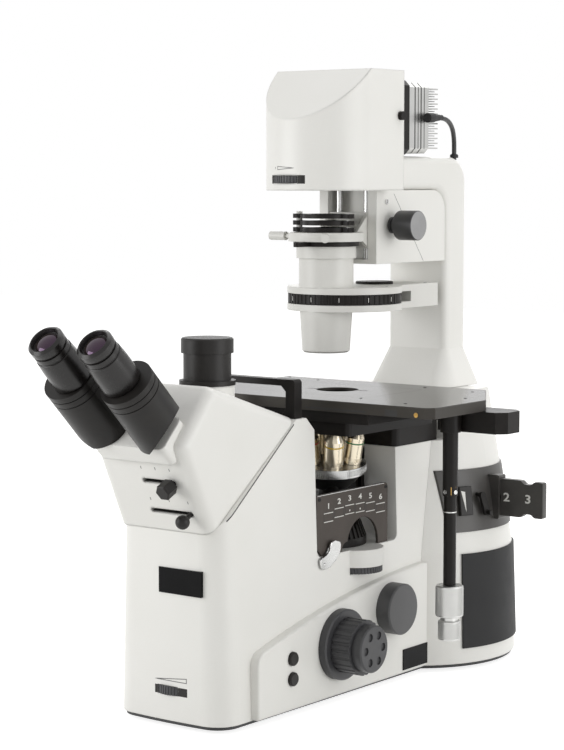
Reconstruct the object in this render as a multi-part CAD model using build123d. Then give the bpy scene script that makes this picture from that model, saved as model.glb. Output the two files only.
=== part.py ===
from build123d import *
import os
from math import cos, radians, sin, sqrt, tan

# Inverted microscope, in millimetres. +X is the user's right, -Y points at the user and +Z is up.
# Pieces are modelled from the point on the bench under the optical axis, and saved from the middle
# of the object's footprint, which lies at this place.
ORIGIN_X = 50.5
ORIGIN_Y = -68

# Clearances
SEAM = 0.4
SLIDE_GAP = 0.4
RUN = 0.05
SEAT_GAP = 0.2

# Stand: feet, base plate and main housing
FOOT_RADIUS = 13
FOOT_HEIGHT = 5
BASE_PLATE_T = 4
BASE_PLATE_INSET = 3
COLUMN_FRONT_Y = -281
COLUMN_HALF_W = 75
COLUMN_CROWN = 4
COLUMN_CORNER_R = 28
BODY_BACK_Y = 114
BODY_BACK_HALF_W = 79
SIDE_TAPER = 9
HOUSING_TOP_Z = 318
HOUSING_WALL = 9
SEAM_FRONT_Z = 213
SHOULDER_FRONT_Y = -147
WINDOW_FRONT_Y = -115
WINDOW_BACK_Y = 37
WINDOW_FLOOR_Z = 164
CHAMBER_FLOOR_T = 12
REAR_WALL_TOP_Z = 270
LIGHT_HOLE_R = 16
WINDOW_CORNER_R = 8
WINDOW_CUT_X = 150
SHOULDER_R = 14

# Rear tower and what it wears
TOWER_Y = 180
TOWER_FOOT_R = 124.5
TOWER_KNEE_R = 120
TOWER_KNEE_Z = 140
TOWER_RIM_R = 90
TOWER_RIM_Z = 326
TOWER_WALL = 8
TOWER_STEP_Y = 138
BAND_LOW_Z = 163
BAND_HIGH_Z = 235
BAND_DEPTH = 6
BAND_PROUD = 2
BAND_END_LOW_Y = 112
BAND_END_HIGH_Y = 108
GRIP_LOW_Z = 27
GRIP_HIGH_Z = 138
GRIP_T = 2.5
GRIP_START_DEG = -28
GRIP_SWEEP_DEG = 85

# Raised side panels
PANEL_X = 85
PANEL_FRONT_Y = -235
PANEL_BACK_Y = 110
PANEL_FRONT_Z = 78
PANEL_MID_Z = 112
PANEL_BACK_Z = 133
PANEL_CORNER_R = 16
PANEL_EDGE_R = 2.5

# Focus controls
FOCUS_Y = -91
FOCUS_Z = 67
COARSE_SHAFT_R = 8
FINE_SHAFT_R = 4
FLANGE_R = 39
FLANGE_T = 10
COARSE_R = 30.5
COARSE_T = 24
COARSE_RIBS = 24
FINE_R = 26
FINE_T = 12
DIMPLE_R = 4.5
DIMPLE_PITCH_R = 16

# Buttons, thumbwheels, port cap and name plates
BUTTON_R = 7.4
BUTTON_Y = -177
BUTTON_Z = (66, 44)
BUTTON_PROUD = 4
BUTTON_LENGTH = 17
BRIGHT_X = 3
BRIGHT_Z = 41
BRIGHT_R = 27
BRIGHT_T = 9
BRIGHT_PROUD = 3
MAG_X = 62
MAG_Y = -27
MAG_Z = 137
MAG_R = 29.5
MAG_T = 7
PORT_Y = 8
PORT_Z = 91
PORT_CAP_R = 29
PORT_CAP_T = 18
PORT_BORE_R = 22
NAMEPLATE_T = 1.2
FRONT_PLATE_X = 21
FRONT_PLATE_Z = 158
FRONT_PLATE_W = 57
FRONT_PLATE_H = 27
SIDE_PLATE_Y = 33
SIDE_PLATE_L = 50
SIDE_PLATE_H = 24

# Number plate, filter turret and shutter lever
NUMBER_PLATE_T = 3
NUMBER_PLATE_BACK_Y = 21
NUMBER_PLATE_TOP_Z = 232
NUMBER_CUT_R = 30
FILTER_X = 18
FILTER_Y = -28
FILTER_R = 48
FILTER_TOP_R = 40
FILTER_DISC_T = 9
FILTER_CONE_H = 21
FILTER_RIBS = 40
FILTER_AXLE_R = 5
LEVER_T = 3
LEVER_L = 28
LEVER_PIN_R = 3

# Nosepiece
NOSE_PITCH_R = 26
NOSE_TILT_DEG = 8
NOSE_SIDE_DEG = -45
NOSE_POSITIONS = 6
NOSE_RING_R = 42
NOSE_RING_H = 10
NOSE_CONE_H = 16
NOSE_FOOT_R = 27
NOSE_AXLE_R = 6
NOSE_BORE_R = 8.5
OBJ_SEAT_Z = 261
OBJ_LENGTH = 44
OBJ_R = 11
OBJ_TIP_R = 7
CARRIER_T = 5
CARRIER_HALF_W = 24
CARRIER_Z = 204
CARRIER_SHELF_T = 12
CARRIER_H = 62
GUIDE_TOP_Z = 268

# Observation head, phototube and levers
NOSE_Y = -330
NOSE_Z = 306
NOSE_HALF_W = 60.5
HEAD_TOP_Y = -282
HEAD_TOP_Z = 364
HEAD_BACK_HALF_W = 67
HEAD_EDGE_R = 7
HEAD_RIDGE_R = 12
PHOTO_Y = -214
PHOTO_BOSS_R = 29
PHOTO_BOSS_TOP_Z = 357
PHOTO_COLLAR_R = 30
PHOTO_COLLAR_T = 5
PHOTO_TUBE_R = 25.5
PHOTO_TUBE_H = 29
PHOTO_CAP_R = 28
PHOTO_CAP_H = 16
PHOTO_BORE_R = 19
SELECTOR_Z = 265
SELECTOR_X = 34
SELECTOR_TRAVEL = 38
SELECTOR_R = 9
SELECTOR_L = 15
PATH_Z = 232
PATH_X = 44
PATH_TRAVEL = 50
PATH_BALL_R = 7.5
LEVER_SLOT_W = 6
LEVER_SLOT_DEPTH = 12
LEVER_STEM_R = 2.6

# Ocular tubes and eyepieces, along the tube axis
TUBE_Y = -332
TUBE_Z = 319.5
TUBE_RISE_DEG = 45
PUPIL_HALF = 32.5
TUBE_R = 28.5
TUBE_OFFSET = 5.5
TUBE_FLAT_X = 10
TUBE_L = 78
TUBE_FACET = 24
EYE_BARREL_R = 15
EYE_BARREL_L = 30
EYE_BODY_R = 21
EYE_CUP_R = 18.5
EYE_L = 59
EYE_LENS_R = 12.5
BRIDGE_HALF_W = 50
BRIDGE_HALF_H = 21
BRIDGE_DEPTH = 26

# Guard bracket
GUARD_HALF_W = 64.5
GUARD_LEG_W = 12
GUARD_Y = -146
GUARD_T = 13
GUARD_H = 42
GUARD_BAR_H = 7

# Stage
STAGE_FRAME_HALF_W = 70
STAGE_FRAME_BACK_Y = 130
STAGE_FRAME_T = 23
FIXED_LEFT_X = -77
FIXED_RIGHT_X = 83
FIXED_FRONT_Y = -72
FIXED_BACK_Y = 98
FIXED_T = 16.3
FIXED_HOLE_R = 43.5
CARRIAGE_T = 12.6
CARRIAGE_LEFT_X = -100
CARRIAGE_RIGHT_X = 120
CARRIAGE_FRONT_Y = -88
CARRIAGE_BACK_Y = 95
CARRIAGE_BAR = 16
WING_FRONT_Y = 3
WING_BACK_Y = 47
WING_END_X = 234
WING_DROP_X = 150
WING_DROP = 11
WING_CHAMFER = 10
TOP_T = 12
TOP_LEFT_X = -133
TOP_RIGHT_X = 208
TOP_FRONT_Y = -99
TOP_BACK_Y = 105
TOP_CUT_X = 149
TOP_CUT_Y = 9.5
INSERT_X = 11
INSERT_Y = 7
INSERT_W = 160
INSERT_D = 110
INSERT_T = 3
INSERT_LIP = 7
INSERT_HOLE_R = 24
ROD_X = 172
ROD_Y = -5
ROD_SLEEVE_R = 8.5
ROD_SLEEVE_L = 70
ROD_R = 7
ROD_L = 180
ROD_PIN_R = 4
KNOB_UPPER_R = 15.5
KNOB_UPPER_H = 35
KNOB_LOWER_R = 12.5
KNOB_LOWER_H = 26

# Illumination arm
HINGE_Y = 208
HINGE_Z = 290
HINGE_PIN_R = 6
HINGE_PIN_HALF_L = 46
TILT_DEG = 18
TONGUE_HALF_W = 22
TONGUE_R = 14
FOOT_HALF_W = 60
FOOT_FRONT_Y = 160
FOOT_BACK_Y = 250
FLARE_TOP_Z = 371
PILLAR_HALF_W = 42
PILLAR_FRONT_Y = 185
PILLAR_BACK_Y = 231
PILLAR_EDGE_R = 9
BEAM_LOW_Z = 561
BEAM_H = 39
ARM_INNER_R = 25
ARM_OUTER_R = 30

# Lamp head, lamp and lead
LAMPHEAD_R = 65
LAMPHEAD_Y = -5
LAMPHEAD_BACK_Y = 60
LAMPHEAD_H = 135
LAMPHEAD_WALL = 6
LAMPHEAD_FLOOR_T = 8
SLANT_FRONT_Z = 640
SLANT_BACK_Y = -5
FIELD_LENS_R = 17
FIELD_R = 30
FIELD_T = 8
FIELD_PROUD = 3
FIELD_TURN_DEG = -7
LAMP_HALF_W = 45
LAMP_LOW_Z = 602
LAMP_H = 85
LAMP_CHAMFER = 6
LAMP_PLATE_Y = 88
LAMP_PLATE_T = 13
LAMP_NECK_R = 34
LAMP_BODY_L = 42
LAMP_FIN_L = 29
LAMP_FINS = 13
LAMP_FIN_T = 1.6
CLAMP_R = 5
CLAMP_PROUD = 5
CLAMP_Y = 52
CLAMP_Z = 645
LEAD_R = 2.8
LEAD_POINTS = (
    (50, 143, 645),
    (50, 160, 645.5),
    (48, 178, 643),
    (43, 196, 634),
    (37, 209, 621),
    (34, 214, 606),
    (34, 214, 590),
)
GLAND_HALF = 5.5

# Condenser mount
BLOCK_HALF_W = 40
BLOCK_FRONT_Y = 42
BLOCK_H = 84
BLOCK_SLOT_HALF_W = 28
BLOCK_SLOT_DEPTH = 20
BLOCK_SLOT_FLOOR = 5
ROD_PAIR_X = 19.5
ROD_PAIR_Y = 53
GUIDE_ROD_R = 4
KNOB_Y = 72
KNOB_Z = 521
KNOB_NECK_R = 8
KNOB_NECK_L = 14
KNOB_BODY_R = 17
KNOB_BODY_L = 22
KNOB_SHAFT_R = 3
KNOB_SHAFT_L = 9

# Condenser, stacked up from the lens face
CONDENSER_GAP = 43
CONE_H = 47
CONE_LOW_R = 27
CONE_HIGH_R = 30
CASE_PLATE_T = 7.5
CASE_GAP = 12
CASE_R = 66
CASE_Y = 36
CASE_TAIL_Y = 163
CASE_TAIL_HALF_W = 45
CASE_TAIL_FRONT_Y = 106
WHEEL_R = 65
WHEEL_HOLES = 5
BEAM_R = 15
TUBE_LOW_R = 31
TUBE_LOW_H = 33
TUBE_HIGH_R = 34
TUBE_HIGH_H = 19
RING_T = 10
RING_R = 43
GUSSET_RISE = 22
GUSSET_DROP = 9
GUSSET_T = 4
CARRIAGE_ARM_HALF_W = 27
APERTURE_T = 5
APERTURE_RING_W = 3
APERTURE_LEVER_L = 22
TRAY_R = 27
TRAY_GLASS_R = 20
TRAY_T = 5
TRAY_PITCH = 7.7
TRAY_COUNT = 3
TRAY_POST_X = -38
TRAY_POST_R = 3.5
SCREW_R = 5
SCREW_L = 36

# Illuminator slider and lever
SLIDER_Y = 185
SLIDER_Z = 200
SLIDER_H = 44
SLIDER_T = 9
SLIDER_END_X = 181
SLIDER_INNER_X = 60
DIAPHRAGM_Z = 205
DIAPHRAGM_DEG = -14
DIAPHRAGM_R = 5
DIAPHRAGM_L = 22
DIAPHRAGM_LEAN_DEG = 200
SLIDER_GUIDE_T = 15
SLIDER_GUIDE_H = 52
SLIDER_GUIDE_PROUD = 11

# Relay mirror under the optical axis
MIRROR_SIDE = 40
MIRROR_T = 5

# Levels that follow from the sizes above
BODY_LOW_Z = FOOT_HEIGHT + BASE_PLATE_T
FIXED_LOW_Z = REAR_WALL_TOP_Z + STAGE_FRAME_T
CARRIAGE_LOW_Z = FIXED_LOW_Z + FIXED_T + SLIDE_GAP
TOP_LOW_Z = CARRIAGE_LOW_Z + CARRIAGE_T + SLIDE_GAP
STAGE_Z = TOP_LOW_Z + TOP_T
CONE_LOW_Z = STAGE_Z + CONDENSER_GAP
CASE_LOW_Z = CONE_LOW_Z + CONE_H
CASE_HIGH_Z = CASE_LOW_Z + 2 * CASE_PLATE_T + CASE_GAP
RING_LOW_Z = CASE_HIGH_Z + TUBE_LOW_H + TUBE_HIGH_H
RING_HIGH_Z = RING_LOW_Z + RING_T
ARM_FOOT_Z = TOWER_RIM_Z + SLIDE_GAP
SEAM_SLOPE = (HOUSING_TOP_Z - SEAM_FRONT_Z) / (SHOULDER_FRONT_Y - COLUMN_FRONT_Y)
FAR = 900


def block(x0, x1, y0, y1, z0, z1):
    """A box between two corners."""
    middle = Pos((x0 + x1) / 2, (y0 + y1) / 2, (z0 + z1) / 2)
    return middle * Box(x1 - x0, y1 - y0, z1 - z0)


def rod_x(radius, x0, x1, y, z):
    """A cylinder along X."""
    return Pos((x0 + x1) / 2, y, z) * Rot(0, 90, 0) * Cylinder(radius, x1 - x0)


def rod_y(radius, y0, y1, x, z):
    """A cylinder along Y."""
    return Pos(x, (y0 + y1) / 2, z) * Rot(90, 0, 0) * Cylinder(radius, y1 - y0)


def rod_z(radius, z0, z1, x=0, y=0):
    """A cylinder along Z."""
    return Pos(x, y, (z0 + z1) / 2) * Cylinder(radius, z1 - z0)


def rounded(points, rounds):
    """A polygon with the named corners rounded."""
    face = Polygon(*points, align=None)
    for index, radius in rounds.items():
        corner = face.vertices().sort_by_distance(Vector(*points[index], 0))[0]
        face = fillet([corner], radius)
    return face


def side_cut(points, x0, x1, rounds={}):
    """A side-view outline in Y and Z, carried from x0 to x1."""
    return extrude(Plane.YZ.offset(x0) * rounded(points, rounds), x1 - x0, dir=(1, 0, 0))


def layer(face, z0, z1):
    """A plan outline carried from z0 to z1."""
    return extrude(Plane.XY.offset(z0) * face, z1 - z0, dir=(0, 0, 1))


def turned(points, plane):
    """A profile of radius and height, turned about the plane's own normal."""
    face = make_face(Plane.XZ * Polyline(*points, close=True))
    return plane * revolve(face, Axis.Z)


def spaced(count):
    """Angles of copies evenly spaced round a circle."""
    return [360 * step / count for step in range(count)]


def seam_z(y):
    """Height of the slanted joint between the column and the observation head."""
    return SEAM_FRONT_Z + SEAM_SLOPE * (y - COLUMN_FRONT_Y)


def side_x(y, z):
    """Half width of the tapered main housing."""
    along = (y - COLUMN_FRONT_Y) / (BODY_BACK_Y - COLUMN_FRONT_Y)
    up = (z - BODY_LOW_Z) / (HOUSING_TOP_Z - BODY_LOW_Z)
    return COLUMN_HALF_W + (BODY_BACK_HALF_W - COLUMN_HALF_W) * along - SIDE_TAPER * up


def tower_r(z):
    """Radius of the rear tower."""
    if z < TOWER_KNEE_Z:
        up = (z - BODY_LOW_Z) / (TOWER_KNEE_Z - BODY_LOW_Z)
        return TOWER_FOOT_R + (TOWER_KNEE_R - TOWER_FOOT_R) * up
    up = (z - TOWER_KNEE_Z) / (TOWER_RIM_Z - TOWER_KNEE_Z)
    return TOWER_KNEE_R + (TOWER_RIM_R - TOWER_KNEE_R) * up


def tower_form(grow, z0, z1):
    """The tower's outer form between two heights, grown by a margin."""
    knee = [(tower_r(TOWER_KNEE_Z) + grow, TOWER_KNEE_Z)] if z0 < TOWER_KNEE_Z < z1 else []
    outline = [(0, z0), (tower_r(z0) + grow, z0), *knee, (tower_r(z1) + grow, z1), (0, z1)]
    return turned(outline, Plane((0, TOWER_Y, 0)))


def body_plan(inset, taper):
    """Plan of the housing: crowned front, round front corners, sides that spread to the back."""
    front = COLUMN_HALF_W - taper - inset
    back = BODY_BACK_HALF_W - taper - inset
    y = COLUMN_FRONT_Y + inset
    nose = ThreePointArc((-front, y), (0, y - COLUMN_CROWN), (front, y))
    rest = Polyline((front, y), (back, BODY_BACK_Y), (-back, BODY_BACK_Y), (-front, y))
    face = make_face([nose, *rest.edges()])
    corners = face.vertices().sort_by(Axis.Y)[:2]
    return fillet(corners, COLUMN_CORNER_R - inset)


def body_form(inset):
    """The tapered column and body before anything is cut from it."""
    low = Plane.XY.offset(BODY_LOW_Z) * body_plan(inset, 0)
    high = Plane.XY.offset(HOUSING_TOP_Z) * body_plan(inset, SIDE_TAPER)
    return loft([low, high], ruled=True)


def side_plane():
    """Plane of the housing's right side, normal outwards."""
    length = BODY_BACK_Y - COLUMN_FRONT_Y
    height = HOUSING_TOP_Z - BODY_LOW_Z
    spread = BODY_BACK_HALF_W - COLUMN_HALF_W
    return Plane(
        origin=(COLUMN_HALF_W, COLUMN_FRONT_Y, BODY_LOW_Z),
        x_dir=(spread, length, 0),
        z_dir=(length * height, -spread * height, SIDE_TAPER * length),
    )


def rubber_feet():
    places = [(x, y) for x in (-48, 48) for y in (COLUMN_FRONT_Y + 45,)]
    places += [(x, TOWER_Y + 45) for x in (-72, 72)]
    foot = Pos(0, 0, FOOT_HEIGHT / 2) * Cone(FOOT_RADIUS - 1.5, FOOT_RADIUS, FOOT_HEIGHT)
    return [Pos(x, y, 0) * foot for x, y in places]


def base_plate():
    plan = body_plan(BASE_PLATE_INSET, 0)
    tail = Pos(0, TOWER_Y) * Circle(TOWER_FOOT_R - BASE_PLATE_INSET)
    return layer(plan + tail, FOOT_HEIGHT, BODY_LOW_Z)


def mag_boss():
    """White round boss under the chamber that hides the magnification wheel's hub."""
    low = MAG_Z + MAG_T + SLIDE_GAP
    return rod_z(MAG_R + 1, low, WINDOW_FLOOR_Z, MAG_X, MAG_Y)


def housing_form():
    """The housing outside: column under the slanted seam, open chamber and low rear wall."""
    top = 2 * HOUSING_TOP_Z
    front = COLUMN_FRONT_Y - 40
    shoulder = SHOULDER_FRONT_Y
    body = body_form(0)
    seam = [(front, seam_z(front)), (shoulder, HOUSING_TOP_Z), (shoulder, top), (front, top)]
    body -= side_cut(seam, -WINDOW_CUT_X, WINDOW_CUT_X)
    y0, y1 = WINDOW_FRONT_Y, WINDOW_BACK_Y
    window = [(y0, WINDOW_FLOOR_Z), (y1, WINDOW_FLOOR_Z), (y1, top), (y0, top)]
    body -= side_cut(window, -WINDOW_CUT_X, WINDOW_CUT_X, {0: WINDOW_CORNER_R, 1: WINDOW_CORNER_R})
    body -= block(-WINDOW_CUT_X, WINDOW_CUT_X, y1 - 1, FAR, REAR_WALL_TOP_Z, top)
    r = SHOULDER_R
    corner = block(-WINDOW_CUT_X, WINDOW_CUT_X, y0 - r, y0 + 1, HOUSING_TOP_Z - r, HOUSING_TOP_Z + 1)
    body -= corner - rod_x(r, -FAR, FAR, y0 - r, HOUSING_TOP_Z - r)
    return body + mag_boss()


def housing_cavity():
    """Hollow of the column and of the body under the chamber floor, open below."""
    inner_top = seam_z(COLUMN_FRONT_Y + HOUSING_WALL) - HOUSING_WALL
    inner_floor = WINDOW_FLOOR_Z - CHAMBER_FLOOR_T
    hollow = body_form(HOUSING_WALL)
    hollow -= block(-FAR, FAR, -FAR, FAR, inner_top, FAR)
    hollow -= block(-FAR, FAR, WINDOW_FRONT_Y - HOUSING_WALL, FAR, inner_floor, FAR)
    return hollow - mag_boss()


def main_housing():
    shell = housing_form() - housing_cavity()
    shell -= tower_form(SEAM, BODY_LOW_Z, TOWER_RIM_Z)
    shell -= rod_z(MAG_R + 1, MAG_Z - SLIDE_GAP, MAG_Z + MAG_T + SLIDE_GAP, MAG_X, MAG_Y)
    shell -= rod_z(FINE_SHAFT_R + RUN, MAG_Z, WINDOW_FLOOR_Z - 2, MAG_X, MAG_Y)
    shell -= rod_z(FILTER_AXLE_R + RUN, WINDOW_FLOOR_Z - 8, WINDOW_FLOOR_Z + 1, FILTER_X, FILTER_Y)
    shell -= rod_z(LIGHT_HOLE_R, WINDOW_FLOOR_Z - CHAMBER_FLOOR_T - 1, WINDOW_FLOOR_Z + 1)
    shell -= side_holes()
    shell -= bright_slot()
    lever_x = side_x(lever_y(), lever_z())
    return shell - rod_x(LEVER_PIN_R + RUN, lever_x - 6, lever_x + 5, lever_y(), lever_z())


def side_holes():
    """Holes through the right wall and panel, and the focus shaft's hole through both walls."""
    holes = rod_x(COARSE_SHAFT_R + 1, -PANEL_X - 1, PANEL_X + 1, FOCUS_Y, FOCUS_Z)
    holes += rod_x(PORT_BORE_R + SEAT_GAP, 20, PANEL_X + 1, PORT_Y, PORT_Z)
    for z in BUTTON_Z:
        holes += rod_x(BUTTON_R + SEAT_GAP, 20, PANEL_X + 1, BUTTON_Y, z)
    return holes


def bright_y():
    return COLUMN_FRONT_Y - COLUMN_CROWN - BRIGHT_PROUD + BRIGHT_R


def bright_slot():
    """Room in the column's front wall for the brightness wheel."""
    low = BRIGHT_Z - BRIGHT_T / 2 - SLIDE_GAP
    high = BRIGHT_Z + BRIGHT_T / 2 + SLIDE_GAP
    return rod_z(BRIGHT_R + SLIDE_GAP, low, high, BRIGHT_X, bright_y())


def rear_tower():
    tower = tower_form(0, BODY_LOW_Z, TOWER_RIM_Z)
    tower -= tower_form(-TOWER_WALL, BODY_LOW_Z, REAR_WALL_TOP_Z - TOWER_WALL)
    tower -= block(-FAR, FAR, -FAR, TOWER_STEP_Y, REAR_WALL_TOP_Z, FAR)
    hinge_reach = ARM_FOOT_Z - HINGE_Z - SLIDE_GAP
    for angle in (TILT_DEG / 2, TILT_DEG + 0.5):
        lean = Pos(0, HINGE_Y, HINGE_Z) * Rot(-angle, 0, 0)
        tower -= lean * block(-FAR, FAR, -FAR / 4, FAR, hinge_reach, FAR)
    slot_front = HINGE_Y - TONGUE_R - 2
    slot_back = HINGE_Y + TONGUE_R + (TOWER_RIM_Z - HINGE_Z) * tan(radians(TILT_DEG)) + 4
    slot_half = TONGUE_HALF_W + SLIDE_GAP
    tower -= block(-slot_half, slot_half, slot_front, slot_back, HINGE_Z - TONGUE_R - 2, FAR)
    tower -= rod_x(HINGE_PIN_R + RUN, -HINGE_PIN_HALF_L, HINGE_PIN_HALF_L, HINGE_Y, HINGE_Z)
    groove = band_ring(-BAND_DEPTH, 1, 0)
    tower -= groove
    tower -= slider_slot()
    return tower


def band_ring(inner, outer, gap):
    """Conical ring round the tower, open towards the front with slanted ends."""
    low, high = BAND_LOW_Z + gap, BAND_HIGH_Z - gap
    ring = tower_form(outer, low, high) - tower_form(inner + gap, low, high)
    slope = (BAND_END_HIGH_Y - BAND_END_LOW_Y) / (BAND_HIGH_Z - BAND_LOW_Z)
    low_y = BAND_END_LOW_Y + gap + slope * (low - BAND_LOW_Z)
    high_y = BAND_END_LOW_Y + gap + slope * (high - BAND_LOW_Z)
    keep = side_cut([(low_y, low), (FAR, low), (FAR, high), (high_y, high)], -FAR, FAR)
    return ring & keep


def slider_slot():
    """Room for the filter slider through the tower's right side."""
    half = SLIDER_H / 2 + SEAT_GAP
    y0 = SLIDER_Y - SLIDER_T / 2 - SEAT_GAP
    y1 = SLIDER_Y + SLIDER_T / 2 + SEAT_GAP
    return block(0, FAR, y0, y1, SLIDER_Z - half, SLIDER_Z + half)


def illuminator_band():
    band = band_ring(-BAND_DEPTH, BAND_PROUD, SEAT_GAP)
    y0, y1 = SLIDER_Y - SLIDER_GUIDE_T / 2, SLIDER_Y + SLIDER_GUIDE_T / 2
    z0, z1 = SLIDER_Z - SLIDER_GUIDE_H / 2, SLIDER_Z + SLIDER_GUIDE_H / 2
    x0 = tower_r(z0) - BAND_DEPTH + 2 * SEAT_GAP
    guide = block(x0, tower_r(SLIDER_Z) + BAND_PROUD + SLIDER_GUIDE_PROUD, y0, y1, z0, z1)
    band += fillet(guide.edges().filter_by(Axis.Y).group_by(Axis.X)[-1], 2)
    band -= slider_slot()
    return band - diaphragm_plane() * rod_z(DIAPHRAGM_R / 2 + RUN, -BAND_DEPTH, BAND_DEPTH)


def diaphragm_plane():
    """Frame on the band's face with its normal pointing away from the tower's axis."""
    a = radians(DIAPHRAGM_DEG)
    r = tower_r(DIAPHRAGM_Z) + BAND_PROUD
    return Plane(
        origin=(r * cos(a), TOWER_Y + r * sin(a), DIAPHRAGM_Z),
        x_dir=(-sin(a), cos(a), 0),
        z_dir=(cos(a), sin(a), 0),
    )


def diaphragm_lever():
    pin = rod_z(DIAPHRAGM_R / 2, 1 - BAND_DEPTH, 9)
    arm = layer(Pos(0, DIAPHRAGM_L / 2) * RectangleRounded(8, DIAPHRAGM_L + 8, 3.5), 7, 11)
    grip = layer(Pos(0, DIAPHRAGM_L) * RectangleRounded(5, 6, 2), 10, 17)
    return diaphragm_plane() * Rot(0, 0, DIAPHRAGM_LEAN_DEG) * (pin + arm + grip)


def filter_slider():
    plate = block(
        SLIDER_INNER_X,
        SLIDER_END_X,
        SLIDER_Y - SLIDER_T / 2,
        SLIDER_Y + SLIDER_T / 2,
        SLIDER_Z - SLIDER_H / 2,
        SLIDER_Z + SLIDER_H / 2,
    )
    plate = chamfer(plate.edges().filter_by(Axis.Y).group_by(Axis.X)[-1], 6)
    first = SLIDER_INNER_X + 18
    for x in (first, first + 34):
        plate -= rod_y(12, -FAR, FAR, x, SLIDER_Z)
    return plate


def grip_panels():
    ring = tower_form(GRIP_T, GRIP_LOW_Z, GRIP_HIGH_Z) - tower_form(RUN, GRIP_LOW_Z, GRIP_HIGH_Z)
    sector = Pos(0, TOWER_Y, 0) * CylinderSector(TOWER_FOOT_R + 20, GRIP_START_DEG, GRIP_SWEEP_DEG)
    right = ring & sector
    return [right, mirror(right, Plane.YZ)]


def CylinderSector(radius, start, sweep):
    """A tall pie slice about Z from one angle through a sweep."""
    ends = [(radius * cos(radians(start + d)), radius * sin(radians(start + d))) for d in (0, sweep / 2, sweep)]
    face = make_face([Line((0, 0), ends[0]), ThreePointArc(*ends), Line(ends[2], (0, 0))])
    return layer(face, 0, FAR)


def side_panels():
    mid_y = (PANEL_FRONT_Y + PANEL_BACK_Y) / 2 - 30
    low = BODY_LOW_Z + 1
    top = ThreePointArc((PANEL_FRONT_Y, PANEL_FRONT_Z), (mid_y, PANEL_MID_Z), (PANEL_BACK_Y, PANEL_BACK_Z))
    rest = Polyline(
        (PANEL_BACK_Y, PANEL_BACK_Z), (PANEL_BACK_Y, low), (PANEL_FRONT_Y, low), (PANEL_FRONT_Y, PANEL_FRONT_Z)
    )
    face = make_face([top, *rest.edges()])
    corner = face.vertices().sort_by_distance(Vector(PANEL_FRONT_Y, PANEL_FRONT_Z, 0))[0]
    face = fillet([corner], PANEL_CORNER_R)
    panel = extrude(Plane.YZ * face, PANEL_X, dir=(1, 0, 0))
    panel -= side_plane() * block(-FAR, FAR, -FAR, FAR, -FAR, 0)
    inner = BODY_BACK_HALF_W - SIDE_TAPER - 5
    ends = [(inner, panel_end_y(inner)), (PANEL_X + 1, panel_end_y(PANEL_X + 1))]
    panel -= layer(Polygon(*ends, (PANEL_X + 1, FAR), (inner, FAR), align=None), 0, FAR)
    panel = fillet(panel.faces().sort_by(Axis.X)[-1].edges(), PANEL_EDGE_R)
    shaft = rod_x(COARSE_SHAFT_R + 1, 0, PANEL_X + 1, FOCUS_Y, FOCUS_Z)
    return [panel - side_holes(), mirror(panel - shaft, Plane.YZ)]


def panel_end_y(x):
    """Where a panel stops short of the round tower."""
    return TOWER_Y - sqrt((TOWER_FOOT_R + SEAM) ** 2 - x**2) - 4 * SEAM


def focus_flanges():
    flange = rod_x(FLANGE_R, PANEL_X, PANEL_X + FLANGE_T, FOCUS_Y, FOCUS_Z)
    flange = chamfer(flange.faces().sort_by(Axis.X)[-1].edges(), 1.5)
    flange += rod_x(COARSE_SHAFT_R + 0.8, PANEL_X - 10, PANEL_X, FOCUS_Y, FOCUS_Z)
    flange -= rod_x(COARSE_SHAFT_R + RUN, 0, FAR, FOCUS_Y, FOCUS_Z)
    return [flange, mirror(flange, Plane.YZ)]


def ribbed_disc(radius, length, count, depth):
    """A disc along Z with notches on its rim, standing on the XY plane."""
    half = 180 / count
    low, high = radius - depth, radius
    turns = ((low, -0.3 * half), (low, 0.3 * half), (high, 0.55 * half), (high, 1.45 * half))
    rim = []
    for angle in spaced(count):
        rim += [(r * cos(radians(angle + a)), r * sin(radians(angle + a))) for r, a in turns]
    return layer(make_face(Polyline(*rim, close=True)), 0, length)


def along_x(x, y, z):
    """Frame whose Z runs along +X."""
    return Plane(origin=(x, y, z), x_dir=(0, 1, 0), z_dir=(1, 0, 0))


def coarse_knobs():
    start = PANEL_X + FLANGE_T + SLIDE_GAP
    knob = along_x(start, FOCUS_Y, FOCUS_Z) * ribbed_disc(COARSE_R, COARSE_T, COARSE_RIBS, 1.2)
    end = start + COARSE_T
    shaft = rod_x(COARSE_SHAFT_R, -end, end, FOCUS_Y, FOCUS_Z)
    both = knob + mirror(knob, Plane.YZ) + shaft
    return both - rod_x(FINE_SHAFT_R + RUN, -FAR, FAR, FOCUS_Y, FOCUS_Z)


def fine_knobs():
    start = PANEL_X + FLANGE_T + SLIDE_GAP + COARSE_T + SLIDE_GAP
    knob = rod_x(FINE_R, start, start + FINE_T, FOCUS_Y, FOCUS_Z)
    knob = chamfer(knob.faces().sort_by(Axis.X)[-1].edges(), 1.5)
    dimple = rod_x(DIMPLE_R, start + FINE_T - 2, start + FINE_T + 1, FOCUS_Y + DIMPLE_PITCH_R, FOCUS_Z)
    axis = Axis((0, FOCUS_Y, FOCUS_Z), (1, 0, 0))
    for angle in spaced(6):
        knob -= dimple.rotate(axis, angle)
    shaft = rod_x(FINE_SHAFT_R, -start, start, FOCUS_Y, FOCUS_Z)
    return knob + mirror(knob, Plane.YZ) + shaft


def button(z):
    face_x = PANEL_X + BUTTON_PROUD
    stud = rod_x(BUTTON_R, face_x - BUTTON_LENGTH, face_x, BUTTON_Y, z)
    return chamfer(stud.faces().sort_by(Axis.X)[-1].edges(), 1.2)


def thumbwheel(radius, thickness, count):
    """A knurled wheel about Z, standing on the XY plane."""
    return ribbed_disc(radius, thickness, count, 0.9)


def brightness_dial():
    return Pos(BRIGHT_X, bright_y(), BRIGHT_Z - BRIGHT_T / 2) * thumbwheel(BRIGHT_R, BRIGHT_T, 48)


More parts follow.
